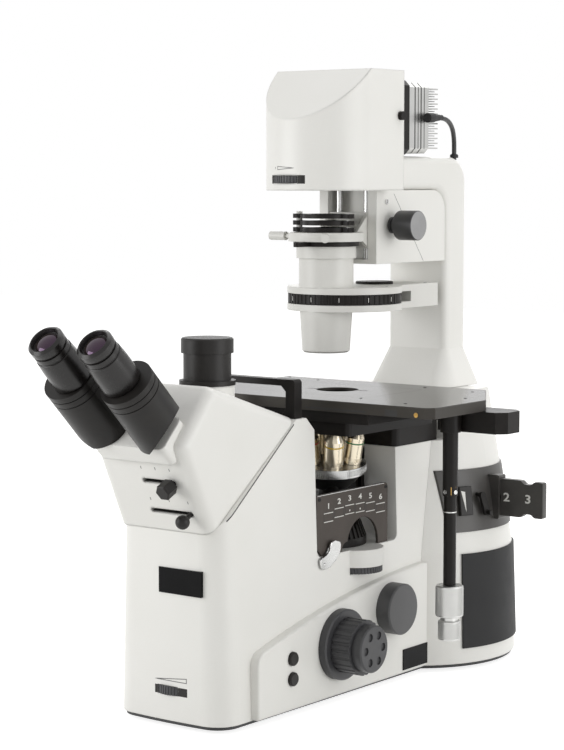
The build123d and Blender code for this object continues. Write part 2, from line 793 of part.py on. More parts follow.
def magnification_wheel():
    wheel = Pos(MAG_X, MAG_Y, MAG_Z) * thumbwheel(MAG_R, MAG_T, 48)
    return wheel + rod_z(FINE_SHAFT_R, MAG_Z, WINDOW_FLOOR_Z - 3, MAG_X, MAG_Y)


def side_port_cap():
    cap = rod_x(PORT_CAP_R, PANEL_X, PANEL_X + PORT_CAP_T, PORT_Y, PORT_Z)
    cap = chamfer(cap.faces().sort_by(Axis.X)[-1].edges(), 1.5)
    return cap + rod_x(PORT_BORE_R, PANEL_X - 16, PANEL_X, PORT_Y, PORT_Z)


def plates():
    """Bare front and side name plates, and the number plate over the filter turret."""
    crown = COLUMN_FRONT_Y - COLUMN_CROWN
    front = block(
        FRONT_PLATE_X - FRONT_PLATE_W / 2,
        FRONT_PLATE_X + FRONT_PLATE_W / 2,
        crown - NAMEPLATE_T,
        COLUMN_FRONT_Y + 5,
        FRONT_PLATE_Z - FRONT_PLATE_H / 2,
        FRONT_PLATE_Z + FRONT_PLATE_H / 2,
    )
    front -= body_form(0)
    low = BODY_LOW_Z + 5
    side = block(
        PANEL_X, PANEL_X + NAMEPLATE_T, SIDE_PLATE_Y, SIDE_PLATE_Y + SIDE_PLATE_L, low, low + SIDE_PLATE_H
    )
    side -= tower_form(SEAM, BODY_LOW_Z, TOWER_RIM_Z)
    return [front, side, number_plate()]


def number_plate():
    face_x = side_x(0, NUMBER_PLATE_TOP_Z)
    front_y = WINDOW_FRONT_Y + SEAT_GAP
    outline = [
        (front_y, WINDOW_FLOOR_Z + 10),
        (front_y, NUMBER_PLATE_TOP_Z),
        (NUMBER_PLATE_BACK_Y, NUMBER_PLATE_TOP_Z),
        (NUMBER_PLATE_BACK_Y, WINDOW_FLOOR_Z),
        (front_y + 10, WINDOW_FLOOR_Z),
    ]
    plate = side_cut(outline, face_x - NUMBER_PLATE_T, face_x, {2: 6})
    plate -= rod_x(NUMBER_CUT_R, 0, FAR, FILTER_Y, WINDOW_FLOOR_Z + 4)
    return plate - rod_x(10, 0, FAR, FILTER_Y - NUMBER_CUT_R, WINDOW_FLOOR_Z)


def filter_turret():
    low = WINDOW_FLOOR_Z + SLIDE_GAP
    mid = low + FILTER_DISC_T
    high = mid + FILTER_CONE_H
    body = [(0, low), (FILTER_R, low), (FILTER_R, mid), (FILTER_TOP_R, high), (0, high)]
    wheel = turned(body, Plane((FILTER_X, FILTER_Y, 0)))
    lean = FILTER_R - FILTER_TOP_R
    groove = Polyline((FILTER_R - 2, mid), (FILTER_R + 9, mid), (FILTER_R + 9, high), (FILTER_R - 2 - lean, high), close=True)
    width = 3.14159 * FILTER_R / FILTER_RIBS
    cutter = extrude(make_face(Plane.XZ * groove), width / 2, both=True)
    for angle in spaced(FILTER_RIBS):
        wheel -= Pos(FILTER_X, FILTER_Y, 0) * Rot(0, 0, angle) * cutter
    pitch = sqrt(FILTER_X**2 + FILTER_Y**2)
    hole = rod_z(9, low - 1, high + 1, -FILTER_X / pitch * pitch, -FILTER_Y / pitch * pitch)
    for angle in spaced(NOSE_POSITIONS):
        wheel -= Pos(FILTER_X, FILTER_Y, 0) * Rot(0, 0, angle) * hole
    return wheel + rod_z(FILTER_AXLE_R, WINDOW_FLOOR_Z - 7, low, FILTER_X, FILTER_Y)


def lever_y():
    return WINDOW_FRONT_Y + 8


def lever_z():
    return WINDOW_FLOOR_Z - 8


def shutter_lever():
    y, z = lever_y(), lever_z()
    x = side_x(y, z) + 1
    bend = LEVER_L * 0.45
    outline = [
        (y - 4, z - 4),
        (y + 4, z - 4),
        (y + 5, z + bend),
        (y - 1, z + bend + 5),
        (y - 1, z + LEVER_L),
        (y - 8, z + LEVER_L),
        (y - 8, z + bend - 2),
    ]
    arm = side_cut(outline, x, x + LEVER_T, {0: 3, 1: 3, 4: 2.5, 5: 2.5})
    return arm + rod_x(LEVER_PIN_R, x - 6, x, y, z)


def nose_plane(lift=0):
    """Frame of the tilted nosepiece: its Z is the turret's axis, its X points at the working seat."""
    t = radians(NOSE_TILT_DEG)
    s = radians(NOSE_SIDE_DEG)
    out = (-cos(s), -sin(s))
    x_dir = (cos(t) * out[0], cos(t) * out[1], sin(t))
    normal = (-sin(t) * out[0], -sin(t) * out[1], cos(t))
    seat = (0, 0, OBJ_SEAT_Z)
    origin = [seat[i] - NOSE_PITCH_R * x_dir[i] + lift * normal[i] for i in range(3)]
    return Plane(origin=origin, x_dir=x_dir, z_dir=normal)


def nose_top(radius):
    """Height of the turret's shallow conical face over the plane of the seats."""
    return (NOSE_PITCH_R - radius) * tan(radians(NOSE_TILT_DEG))


def nosepiece_turret():
    ring_low = nose_top(NOSE_RING_R) - NOSE_RING_H
    foot = ring_low - NOSE_CONE_H
    profile = [
        (0, foot),
        (NOSE_FOOT_R, foot),
        (NOSE_RING_R - 3, ring_low),
        (NOSE_RING_R, ring_low),
        (NOSE_RING_R, nose_top(NOSE_RING_R)),
        (0, nose_top(0)),
    ]
    face = make_face(Plane.XZ * Polyline(*profile, close=True))
    turret = revolve(face, Axis.Z)
    turret -= rod_z(NOSE_AXLE_R + RUN, foot - 1, ring_low + 2)
    bore = Pos(NOSE_PITCH_R, 0, 0) * Rot(0, NOSE_TILT_DEG, 0) * rod_z(NOSE_BORE_R, -60, 30)
    for angle in spaced(NOSE_POSITIONS):
        turret -= Rot(0, 0, angle) * bore
    return nose_plane() * turret


def objectives():
    profile = [
        (NOSE_BORE_R - 3, 0),
        (OBJ_R, 0),
        (OBJ_R, OBJ_LENGTH * 0.7),
        (OBJ_TIP_R, OBJ_LENGTH * 0.9),
        (OBJ_TIP_R, OBJ_LENGTH),
        (3, OBJ_LENGTH),
        (3, OBJ_LENGTH - 1.5),
        (0, OBJ_LENGTH - 1.5),
        (0, OBJ_LENGTH - 5),
        (NOSE_BORE_R - 3, OBJ_LENGTH - 5),
    ]
    face = make_face(Plane.XZ * Polyline(*profile, close=True))
    barrel = Pos(NOSE_PITCH_R, 0, 0) * Rot(0, NOSE_TILT_DEG, 0) * Pos(0, 0, RUN) * revolve(face, Axis.Z)
    return [nose_plane() * (Rot(0, 0, angle) * barrel) for angle in spaced(NOSE_POSITIONS)]


def carrier_y():
    """Front of the carrier's upright, just behind the turret's sweep."""
    return nose_plane().origin.Y + NOSE_RING_R + 1.5


def nosepiece_carrier():
    y = carrier_y()
    shelf_top = CARRIER_Z + CARRIER_SHELF_T
    upright = block(-CARRIER_HALF_W, CARRIER_HALF_W, y, y + CARRIER_T, CARRIER_Z, CARRIER_Z + CARRIER_H)
    shelf = block(-CARRIER_HALF_W, CARRIER_HALF_W + 4, -34, y + CARRIER_T, CARRIER_Z, shelf_top)
    shelf = fillet(shelf.edges().filter_by(Axis.Z).group_by(Axis.Y)[0], 10)
    ring_low = nose_top(NOSE_RING_R) - NOSE_RING_H
    foot = ring_low - NOSE_CONE_H
    plane = nose_plane()
    stub = plane * (rod_z(NOSE_AXLE_R, foot - 20, ring_low + 1) + rod_z(NOSE_AXLE_R + 6, foot - 20, foot - SLIDE_GAP))
    stub &= block(-FAR, FAR, -FAR, FAR, CARRIER_Z, FAR)
    body = upright + shelf + stub
    light = rod_z(LIGHT_HOLE_R - 6, CARRIER_Z - 1, shelf_top + 0.01)
    return body - light


def focus_guide():
    y = carrier_y() + CARRIER_T + SLIDE_GAP
    half = CARRIER_HALF_W + 4
    return block(-half, half, y, WINDOW_BACK_Y, CARRIER_Z, GUIDE_TOP_Z)


def head_side(y):
    """Half width of the observation head."""
    along = (y - NOSE_Y) / (SHOULDER_FRONT_Y - NOSE_Y)
    return NOSE_HALF_W + (HEAD_BACK_HALF_W - NOSE_HALF_W) * along


def head_foot():
    """Lower front edge of the head, on the seam over the column's crown."""
    y = COLUMN_FRONT_Y - COLUMN_CROWN
    return y, seam_z(y) + SEAM


def front_plane(x, z):
    """Frame on the head's lower front face, normal outwards, X along the user's right."""
    foot_y, foot_z = head_foot()
    rise = NOSE_Z - foot_z
    run = foot_y - NOSE_Y
    y = foot_y - run * (z - foot_z) / rise
    return Plane(origin=(x, y, z), x_dir=(1, 0, 0), z_dir=(0, -rise, -run))


def observation_head():
    profile = [
        head_foot(),
        (NOSE_Y, NOSE_Z),
        (HEAD_TOP_Y, HEAD_TOP_Z),
        (SHOULDER_FRONT_Y - 2, HOUSING_TOP_Z + SEAM + 2),
        (SHOULDER_FRONT_Y - 2, seam_z(SHOULDER_FRONT_Y - 2) + SEAM),
    ]
    form = side_cut(profile, -FAR / 5, FAR / 5, {1: HEAD_EDGE_R, 2: HEAD_EDGE_R})
    back = SHOULDER_FRONT_Y + 20
    side = [(-head_side(back), back), (-NOSE_HALF_W, NOSE_Y - 30), (NOSE_HALF_W, NOSE_Y - 30), (head_side(back), back)]
    head = form & layer(Polygon(*side, align=None), 150, 450)
    ridges = [e for e in head.edges() if abs(e.center().X) > NOSE_HALF_W - 3 and e.center().Y < HEAD_TOP_Y + 5]
    ridges = [e for e in ridges if e.length > 20]
    head = fillet(ridges, HEAD_RIDGE_R)
    head += rod_z(PHOTO_BOSS_R, HEAD_TOP_Z - 60, PHOTO_BOSS_TOP_Z, 0, PHOTO_Y)
    head -= lever_slot(SELECTOR_X, SELECTOR_Z, SELECTOR_TRAVEL)
    head -= lever_slot(PATH_X, PATH_Z, PATH_TRAVEL)
    return head


def lever_slot(x, z, travel):
    """Straight slot along X in the head's lower front face."""
    plane = front_plane(x - travel / 2, z)
    face = RectangleRounded(travel + LEVER_SLOT_W + 1, LEVER_SLOT_W, LEVER_SLOT_W / 2 - 0.1)
    return plane * layer(face, -LEVER_SLOT_DEPTH, 20)


def selector_knob():
    stem = rod_z(LEVER_STEM_R, 1 - LEVER_SLOT_DEPTH + 0.5, 6)
    knob = layer(RegularPolygon(SELECTOR_R, 6), 5, 5 + SELECTOR_L)
    knob = chamfer(knob.faces().sort_by(Axis.Z)[-1].edges(), 1.2)
    return front_plane(SELECTOR_X, SELECTOR_Z) * (stem + knob)


def light_path_lever():
    stem = rod_z(LEVER_STEM_R, 1 - LEVER_SLOT_DEPTH + 0.5, 12)
    ball = Pos(0, 0, 11 + PATH_BALL_R / 2) * Sphere(PATH_BALL_R)
    return front_plane(PATH_X, PATH_Z) * (stem + ball)


def phototube():
    low = PHOTO_BOSS_TOP_Z
    neck = low + PHOTO_COLLAR_T
    tube = rod_z(PHOTO_COLLAR_R, low, neck, 0, PHOTO_Y)
    tube += rod_z(PHOTO_TUBE_R, neck, neck + PHOTO_TUBE_H, 0, PHOTO_Y)
    return tube - rod_z(PHOTO_BORE_R, low + 3, FAR, 0, PHOTO_Y)


def phototube_cap():
    low = PHOTO_BOSS_TOP_Z + PHOTO_COLLAR_T + PHOTO_TUBE_H
    cap = rod_z(PHOTO_CAP_R, low, low + PHOTO_CAP_H, 0, PHOTO_Y)
    cap = chamfer(cap.faces().sort_by(Axis.Z)[-1].edges(), 1.5)
    return cap + rod_z(PHOTO_BORE_R - SEAT_GAP, low - 12, low, 0, PHOTO_Y)


def tube_plane(side):
    """Frame of an ocular tube: Z up the tube, X to the user's right."""
    a = radians(TUBE_RISE_DEG)
    return Plane(origin=(side * PUPIL_HALF, TUBE_Y, TUBE_Z), x_dir=(1, 0, 0), z_dir=(0, -cos(a), sin(a)))


def ocular_tube(side):
    housing = layer(Pos(side * TUBE_OFFSET, 0) * Circle(TUBE_R), 0, TUBE_L)
    flat = TUBE_FLAT_X - PUPIL_HALF
    housing -= block(*sorted((side * flat, side * (flat - 60))), -60, 60, -1, TUBE_L + 1)
    for start in (TUBE_L * 0.8, TUBE_L * 0.9):
        collar = layer(Pos(side * TUBE_OFFSET, 0) * (Circle(TUBE_R + 1) - Circle(TUBE_R - 1)), start, start + 1.2)
        housing -= collar
    facet = Rot(0, -side * 40, 0) * block(-60, 60, -60, 60, -60, 0)
    housing -= Pos(side * (TUBE_OFFSET + TUBE_R), 0, TUBE_FACET) * facet
    housing -= rod_z(EYE_BARREL_R + RUN, TUBE_L - EYE_BARREL_L - 3, TUBE_L + 1)
    return tube_plane(side) * housing


def eyepiece(side):
    low = TUBE_L + SLIDE_GAP
    top = TUBE_L + EYE_L
    body = low + EYE_L * 0.5
    cup = body + EYE_L * 0.17
    profile = [
        (0, TUBE_L - EYE_BARREL_L),
        (EYE_BARREL_R, TUBE_L - EYE_BARREL_L),
        (EYE_BARREL_R, low),
        (EYE_BODY_R - 2, low),
        (EYE_BODY_R, low + 2),
        (EYE_BODY_R, body),
        (EYE_CUP_R, cup),
        (EYE_CUP_R, top - 2),
        (EYE_CUP_R - 2, top),
        (EYE_LENS_R + 1, top),
        (EYE_LENS_R, top - 5),
        (0, top - 5),
    ]
    face = make_face(Plane.XZ * Polyline(*profile, close=True))
    return tube_plane(side) * revolve(face, Axis.Z)


def tube_bridge(head):
    plate = layer(RectangleRounded(2 * BRIDGE_HALF_W, 2 * BRIDGE_HALF_H, 6), -BRIDGE_DEPTH, -SLIDE_GAP)
    middle = tube_plane(0)
    return middle * plate - head


def guard_bracket():
    low = HOUSING_TOP_Z
    inner = GUARD_HALF_W - GUARD_LEG_W
    high = low + GUARD_H
    outline = [
        (-GUARD_HALF_W, low),
        (-GUARD_HALF_W, high),
        (GUARD_HALF_W, high),
        (GUARD_HALF_W, low),
        (inner - 5, low),
        (inner - 5, low + 5),
        (inner, low + 9),
        (inner, high - GUARD_BAR_H - 6),
        (inner - 6, high - GUARD_BAR_H),
        (6 - inner, high - GUARD_BAR_H),
        (-inner, high - GUARD_BAR_H - 6),
        (-inner, low + 9),
        (5 - inner, low + 5),
        (5 - inner, low),
    ]
    face = rounded(outline, {1: 4, 2: 4})
    return extrude(Plane.XZ.offset(-GUARD_Y - GUARD_T) * face, GUARD_T, dir=(0, -1, 0))


def stage_frame():
    frame = block(
        -STAGE_FRAME_HALF_W,
        STAGE_FRAME_HALF_W,
        WINDOW_BACK_Y + 2,
        STAGE_FRAME_BACK_Y,
        REAR_WALL_TOP_Z,
        FIXED_LOW_Z,
    )
    return fillet(frame.edges().filter_by(Axis.Z), 8)


def stage_fixed_plate():
    width = FIXED_RIGHT_X - FIXED_LEFT_X
    depth = FIXED_BACK_Y - FIXED_FRONT_Y
    face = Pos((FIXED_RIGHT_X + FIXED_LEFT_X) / 2, (FIXED_BACK_Y + FIXED_FRONT_Y) / 2) * RectangleRounded(width, depth, 6)
    centre = nose_plane((FIXED_LOW_Z - OBJ_SEAT_Z) * 1.2).origin
    face -= Pos(centre.X, centre.Y) * Circle(FIXED_HOLE_R)
    return layer(face, FIXED_LOW_Z, FIXED_LOW_Z + FIXED_T)


def stage_carriage():
    low, high = CARRIAGE_LOW_Z, CARRIAGE_LOW_Z + CARRIAGE_T
    frame = block(CARRIAGE_LEFT_X, CARRIAGE_RIGHT_X, CARRIAGE_FRONT_Y, CARRIAGE_BACK_Y, low, high)
    frame -= block(
        CARRIAGE_LEFT_X + CARRIAGE_BAR,
        CARRIAGE_RIGHT_X - CARRIAGE_BAR,
        CARRIAGE_FRONT_Y + CARRIAGE_BAR,
        CARRIAGE_BACK_Y - CARRIAGE_BAR,
        low - 1,
        high + 1,
    )
    tip = WING_END_X - WING_CHAMFER
    wing = Polygon(
        (CARRIAGE_RIGHT_X - 1, WING_FRONT_Y),
        (tip, WING_FRONT_Y),
        (WING_END_X, WING_FRONT_Y + WING_CHAMFER),
        (WING_END_X, WING_BACK_Y - WING_CHAMFER),
        (tip, WING_BACK_Y),
        (CARRIAGE_RIGHT_X - 1, WING_BACK_Y),
        align=None,
    )
    frame += layer(wing, low, high)
    drop = layer(wing, low - WING_DROP, low) & block(WING_DROP_X, FAR, -FAR, FAR, 0, FAR)
    frame += drop
    boss_low = low - WING_DROP
    frame += rod_z(ROD_SLEEVE_R + 3, boss_low, high - 2, ROD_X, ROD_Y)
    frame += block(ROD_X - 8, ROD_X + 8, ROD_Y, WING_FRONT_Y + 2, boss_low, high - 2)
    frame += rod_z(ROD_SLEEVE_R, boss_low - ROD_SLEEVE_L, boss_low, ROD_X, ROD_Y)
    rod_low = low - ROD_L
    frame += rod_z(ROD_R, rod_low, boss_low, ROD_X, ROD_Y)
    pin_low = rod_low - KNOB_UPPER_H - KNOB_LOWER_H
    frame += rod_z(ROD_PIN_R, pin_low, rod_low, ROD_X, ROD_Y)
    return frame


def stage_knob(radius, low, high, count):
    knob = Pos(ROD_X, ROD_Y, low) * ribbed_disc(radius, high - low, count, 0.7)
    return knob - rod_z(ROD_PIN_R + RUN, low - 1, high + 1, ROD_X, ROD_Y)


def stage_knob_upper():
    high = CARRIAGE_LOW_Z - ROD_L - SLIDE_GAP
    return stage_knob(KNOB_UPPER_R, high - KNOB_UPPER_H + SLIDE_GAP, high, 36)


def stage_knob_lower():
    high = CARRIAGE_LOW_Z - ROD_L - SLIDE_GAP - KNOB_UPPER_H
    return stage_knob(KNOB_LOWER_R, high - KNOB_LOWER_H, high, 30)


def stage_top():
    cut = (TOP_RIGHT_X - 2, TOP_CUT_Y)
    outline = [
        (TOP_LEFT_X, TOP_FRONT_Y),
        (TOP_RIGHT_X - 8, TOP_FRONT_Y),
        (TOP_RIGHT_X, TOP_FRONT_Y + 8),
        (TOP_RIGHT_X, cut[1]),
        (TOP_CUT_X, TOP_BACK_Y),
        (TOP_LEFT_X, TOP_BACK_Y),
    ]
    plate = layer(Polygon(*outline, align=None), TOP_LOW_Z, STAGE_Z)
    plate = chamfer(plate.faces().sort_by(Axis.Z)[-1].edges(), 0.8)
    seat = Pos(INSERT_X, INSERT_Y) * RectangleRounded(INSERT_W + 2 * SEAT_GAP, INSERT_D + 2 * SEAT_GAP, 4)
    lip = Pos(INSERT_X, INSERT_Y) * RectangleRounded(INSERT_W - 2 * INSERT_LIP, INSERT_D - 2 * INSERT_LIP, 4)
    return plate - layer(seat, STAGE_Z - INSERT_T, STAGE_Z + 1) - layer(lip, TOP_LOW_Z - 1, STAGE_Z)


def stage_insert():
    face = Pos(INSERT_X, INSERT_Y) * RectangleRounded(INSERT_W, INSERT_D, 3.5)
    face -= Pos(INSERT_X, INSERT_Y) * Circle(INSERT_HOLE_R)
    return layer(face, STAGE_Z - INSERT_T, STAGE_Z)


def foot_plan(spread):
    """Plan of the arm's foot between the pillar (0) and the flared rim (1)."""
    half = PILLAR_HALF_W + (FOOT_HALF_W - PILLAR_HALF_W) * spread
    front = PILLAR_FRONT_Y + (FOOT_FRONT_Y - PILLAR_FRONT_Y) * spread
    back = PILLAR_BACK_Y + (FOOT_BACK_Y - PILLAR_BACK_Y) * spread
    corner = PILLAR_EDGE_R * (1 + 2 * spread)
    return Pos(0, (front + back) / 2) * RectangleRounded(2 * half, back - front, corner)


def arm_pillar():
    high = BEAM_LOW_Z + BEAM_H
    outline = [
        (PILLAR_FRONT_Y, FLARE_TOP_Z),
        (PILLAR_FRONT_Y, BEAM_LOW_Z),
        (LAMPHEAD_BACK_Y, BEAM_LOW_Z),
        (LAMPHEAD_BACK_Y, high),
        (PILLAR_BACK_Y, high),
        (PILLAR_BACK_Y, FLARE_TOP_Z),
    ]
    arm = side_cut(outline, -PILLAR_HALF_W, PILLAR_HALF_W, {1: ARM_INNER_R, 4: ARM_OUTER_R})
    sides = [e for e in arm.edges().filter_by(Axis.Z) if e.center().Y > PILLAR_FRONT_Y - 1]
    arm = fillet(sides, PILLAR_EDGE_R)
    top = Plane.XY.offset(FLARE_TOP_Z) * foot_plan(0)
    rim = Plane.XY.offset(ARM_FOOT_Z) * foot_plan(1)
    arm += loft([rim, top], ruled=True)
    tongue = side_cut(
        [
            (HINGE_Y - TONGUE_R, HINGE_Z),
            (HINGE_Y - TONGUE_R, ARM_FOOT_Z + 4),
            (HINGE_Y + TONGUE_R, ARM_FOOT_Z + 4),
            (HINGE_Y + TONGUE_R, HINGE_Z),
        ],
        -TONGUE_HALF_W,
        TONGUE_HALF_W,
    )
    tongue += rod_x(TONGUE_R, -TONGUE_HALF_W, TONGUE_HALF_W, HINGE_Y, HINGE_Z)
    arm += tongue
    arm -= rod_x(HINGE_PIN_R + RUN, -FAR, FAR, HINGE_Y, HINGE_Z)
    end = LEAD_POINTS[-1]
    return arm - rod_z(LEAD_R + SEAT_GAP, end[2] - 2, FAR, end[0], end[1])


def tilt_hinge_pin():
    return rod_x(HINGE_PIN_R, -HINGE_PIN_HALF_L, HINGE_PIN_HALF_L, HINGE_Y, HINGE_Z)


def lamp_plan(inset):
    """Plan of the lamp head: a straight back and a half-round front."""
    r = LAMPHEAD_R - inset
    back = LAMPHEAD_BACK_Y - inset
    arc = ThreePointArc((-r, LAMPHEAD_Y), (0, LAMPHEAD_Y - r), (r, LAMPHEAD_Y))
    rest = Polyline((r, LAMPHEAD_Y), (r, back), (-r, back), (-r, LAMPHEAD_Y))
    return make_face([arc, *rest.edges()])


def field_axis():
    """Centre of the field dial, set in from the round front."""
    a = radians(FIELD_TURN_DEG)
    reach = LAMPHEAD_R + FIELD_PROUD - FIELD_R
    return reach * sin(a), LAMPHEAD_Y - reach * cos(a)


def lamp_slant(inset):
    """Wedge taken off the lamp head's top front."""
    high = BEAM_LOW_Z + LAMPHEAD_H
    front = LAMPHEAD_Y - LAMPHEAD_R
    slope = (high - SLANT_FRONT_Z) / (SLANT_BACK_Y - front)
    return side_cut(
        [(-FAR, SLANT_FRONT_Z - inset + slope * (-FAR - front)), (SLANT_BACK_Y, high - inset), (SLANT_BACK_Y, FAR * 2), (-FAR, FAR * 2)],
        -FAR,
        FAR,
    )


def lamp_head():
    high = BEAM_LOW_Z + LAMPHEAD_H
    body = layer(lamp_plan(0), BEAM_LOW_Z, high) - lamp_slant(0)
    floor = BEAM_LOW_Z + LAMPHEAD_FLOOR_T
    hollow = layer(lamp_plan(LAMPHEAD_WALL), floor, high - LAMPHEAD_WALL) - lamp_slant(LAMPHEAD_WALL * 1.4)
    body -= hollow
    body -= rod_z(FIELD_LENS_R, BEAM_LOW_Z - 1, floor + 1)
    x, y = field_axis()
    body -= rod_z(FINE_SHAFT_R + RUN, BEAM_LOW_Z + 2, floor + 1, x, y)
    body -= rod_z(FIELD_R + SLIDE_GAP, floor, floor + FIELD_T + 2 * SLIDE_GAP, x, y)
    body -= rod_y(LAMP_NECK_R + SEAT_GAP, LAMPHEAD_BACK_Y - 12, FAR, 0, LAMP_LOW_Z + LAMP_H / 2)
    return body - rod_x(CLAMP_R / 2 + RUN, LAMPHEAD_R - 12, FAR, CLAMP_Y, CLAMP_Z)


def field_dial():
    x, y = field_axis()
    floor = BEAM_LOW_Z + LAMPHEAD_FLOOR_T
    wheel = Pos(x, y, floor + SLIDE_GAP) * thumbwheel(FIELD_R, FIELD_T, 48)
    return wheel + rod_z(FINE_SHAFT_R, BEAM_LOW_Z + 3, floor + SLIDE_GAP, x, y)


def lamp_face(inset):
    """Front view of the lamp: a square with cut corners."""
    side = 2 * (LAMP_HALF_W - inset)
    face = Rectangle(side, LAMP_H - 2 * inset)
    return chamfer(face.vertices(), LAMP_CHAMFER)


def lamp_section(face, y0, y1):
    """Lamp outline carried from y0 back to y1."""
    plane = Plane(origin=(0, y0, LAMP_LOW_Z + LAMP_H / 2), x_dir=(1, 0, 0), z_dir=(0, 1, 0))
    return extrude(plane * face, y1 - y0, dir=(0, 1, 0))


def lamp_mount():
    z = LAMP_LOW_Z + LAMP_H / 2
    plate = lamp_section(lamp_face(0), LAMP_PLATE_Y, LAMP_PLATE_Y + LAMP_PLATE_T)
    plate += rod_y(LAMP_NECK_R, LAMPHEAD_BACK_Y - 10, LAMP_PLATE_Y, 0, z)
    plate -= rod_y(LAMP_NECK_R - 5, 0, LAMP_PLATE_Y, 0, z)
    head = rod_x(CLAMP_R, LAMPHEAD_R + SEAT_GAP, LAMPHEAD_R + CLAMP_PROUD, CLAMP_Y, CLAMP_Z)
    screw = head + rod_x(CLAMP_R / 2, LAMPHEAD_R - 10, LAMPHEAD_R + 1, CLAMP_Y, CLAMP_Z)
    return [plate, screw]


def lamp_heatsink():
    start = LAMP_PLATE_Y + LAMP_PLATE_T
    body = lamp_section(lamp_face(1.5), start, start + LAMP_BODY_L)
    end = start + LAMP_BODY_L
    width = LAMP_HALF_W - 1.5 - LAMP_CHAMFER
    pitch = (LAMP_H - 16) / (LAMP_FINS - 1)
    for step in range(LAMP_FINS):
        z = LAMP_LOW_Z + 8 + pitch * step
        body += block(-width, width, end - 1, end + LAMP_FIN_L, z - LAMP_FIN_T / 2, z + LAMP_FIN_T / 2)
    for y in (start + LAMP_BODY_L * 0.3, start + LAMP_BODY_L * 0.6):
        ring = lamp_section(lamp_face(0) - lamp_face(4), y, y + 2)
        body -= ring
    return body


def lamp_lead():
    wire = FilletPolyline(*LEAD_POINTS, radius=lead_radii())
    start = Plane(origin=wire @ 0, z_dir=wire % 0)
    tube = sweep(start * Circle(LEAD_R), path=wire)
    x, y, z = LEAD_POINTS[0]
    face_x = LAMP_HALF_W - 1.5
    gland = block(face_x, x + GLAND_HALF, y - 12, y, z - GLAND_HALF, z + GLAND_HALF)
    return [tube, fillet(gland.edges().filter_by(Axis.Y).group_by(Axis.X)[-1], 3)]


def lead_radii():
    """Bend radius at each inner point of the lead, as large as its two runs allow."""
    points = [Vector(*p) for p in LEAD_POINTS]
    radii = []
    for before, here, after in zip(points, points[1:], points[2:]):
        turn = (here - before).get_angle(after - here)
        run = min((here - before).length, (after - here).length)
        radii.append(0.45 * run / tan(radians(turn) / 2))
    return radii


def condenser_block():
    low = BEAM_LOW_Z - BLOCK_H
    body = block(-BLOCK_HALF_W, BLOCK_HALF_W, BLOCK_FRONT_Y, PILLAR_FRONT_Y, low, BEAM_LOW_Z)
    body -= arm_inner_corner()
    body -= block(
        -BLOCK_SLOT_HALF_W, BLOCK_SLOT_HALF_W, 0, BLOCK_FRONT_Y + BLOCK_SLOT_DEPTH, low + BLOCK_SLOT_FLOOR, FAR * 2
    )
    for x in (-ROD_PAIR_X, ROD_PAIR_X):
        body -= rod_z(GUIDE_ROD_R + RUN, low + 2, FAR * 2, x, ROD_PAIR_Y)
    return body - rod_x(KNOB_SHAFT_R + RUN, BLOCK_HALF_W - KNOB_SHAFT_L - 1, FAR, KNOB_Y, KNOB_Z)


def arm_inner_corner():
    """Room for the arm's rounded inner corner."""
    y, z = PILLAR_FRONT_Y - ARM_INNER_R, BEAM_LOW_Z - ARM_INNER_R
    corner = block(-FAR, FAR, y, PILLAR_FRONT_Y + 1, z, BEAM_LOW_Z + 1)
    return corner - rod_x(ARM_INNER_R - SEAT_GAP, -FAR, FAR, y, z)


def guide_rods():
    low = BEAM_LOW_Z - BLOCK_H + 2
    return [rod_z(GUIDE_ROD_R, low, BEAM_LOW_Z, x, ROD_PAIR_Y) for x in (-ROD_PAIR_X, ROD_PAIR_X)]


def condenser_knob():
    x = BLOCK_HALF_W + SLIDE_GAP
    knob = rod_x(KNOB_SHAFT_R, BLOCK_HALF_W - KNOB_SHAFT_L, x, KNOB_Y, KNOB_Z)
    knob += rod_x(KNOB_NECK_R, x, x + KNOB_NECK_L, KNOB_Y, KNOB_Z)
    start = x + KNOB_NECK_L
    knob += along_x(start, KNOB_Y, KNOB_Z) * ribbed_disc(KNOB_BODY_R, KNOB_BODY_L, 30, 0.9)
    return knob + rod_x(KNOB_BODY_R - 3, start, start + KNOB_BODY_L + 1.5, KNOB_Y, KNOB_Z)


def condenser_carriage():
    """Ring plate, its slider on the guide rods, the tray post and the two centring screws."""
    low, high = RING_LOW_Z, RING_HIGH_Z
    ring = rod_z(RING_R, low, high) - rod_z(BEAM_R + 9, low - 1, high + 1)
    slider_back = BLOCK_FRONT_Y + BLOCK_SLOT_DEPTH - SLIDE_GAP
    half = BLOCK_SLOT_HALF_W - SLIDE_GAP
    arm = block(-CARRIAGE_ARM_HALF_W, CARRIAGE_ARM_HALF_W, RING_R - 12, BLOCK_FRONT_Y + 3, low, high)
    foot = BLOCK_FRONT_Y + 2
    slider = block(-half, half, foot, slider_back, low - GUSSET_DROP, high + GUSSET_RISE)
    web = [(RING_R - 22, high), (foot + 1, high + GUSSET_RISE), (foot + 1, low - GUSSET_DROP), (RING_R - 11, low)]
    gusset = side_cut(web, half - GUSSET_T, half)
    body = ring + arm + slider + gusset + mirror(gusset, Plane.YZ)
    for x in (-ROD_PAIR_X, ROD_PAIR_X):
        body -= rod_z(GUIDE_ROD_R + RUN, 0, FAR * 2, x, ROD_PAIR_Y)
    post_high = high + SLIDE_GAP + TRAY_PITCH * TRAY_COUNT
    body += rod_z(TRAY_POST_R, high - 1, post_high, TRAY_POST_X, 0)
    z = (low + high) / 2
    left = rod_x(SCREW_R / 2, -RING_R - 16, 2 - RING_R, 0, z)
    left += rod_x(SCREW_R, -RING_R - SCREW_L, -RING_R - 14, 0, z)
    body += left
    body += left.rotate(Axis.Z, 125)
    return body


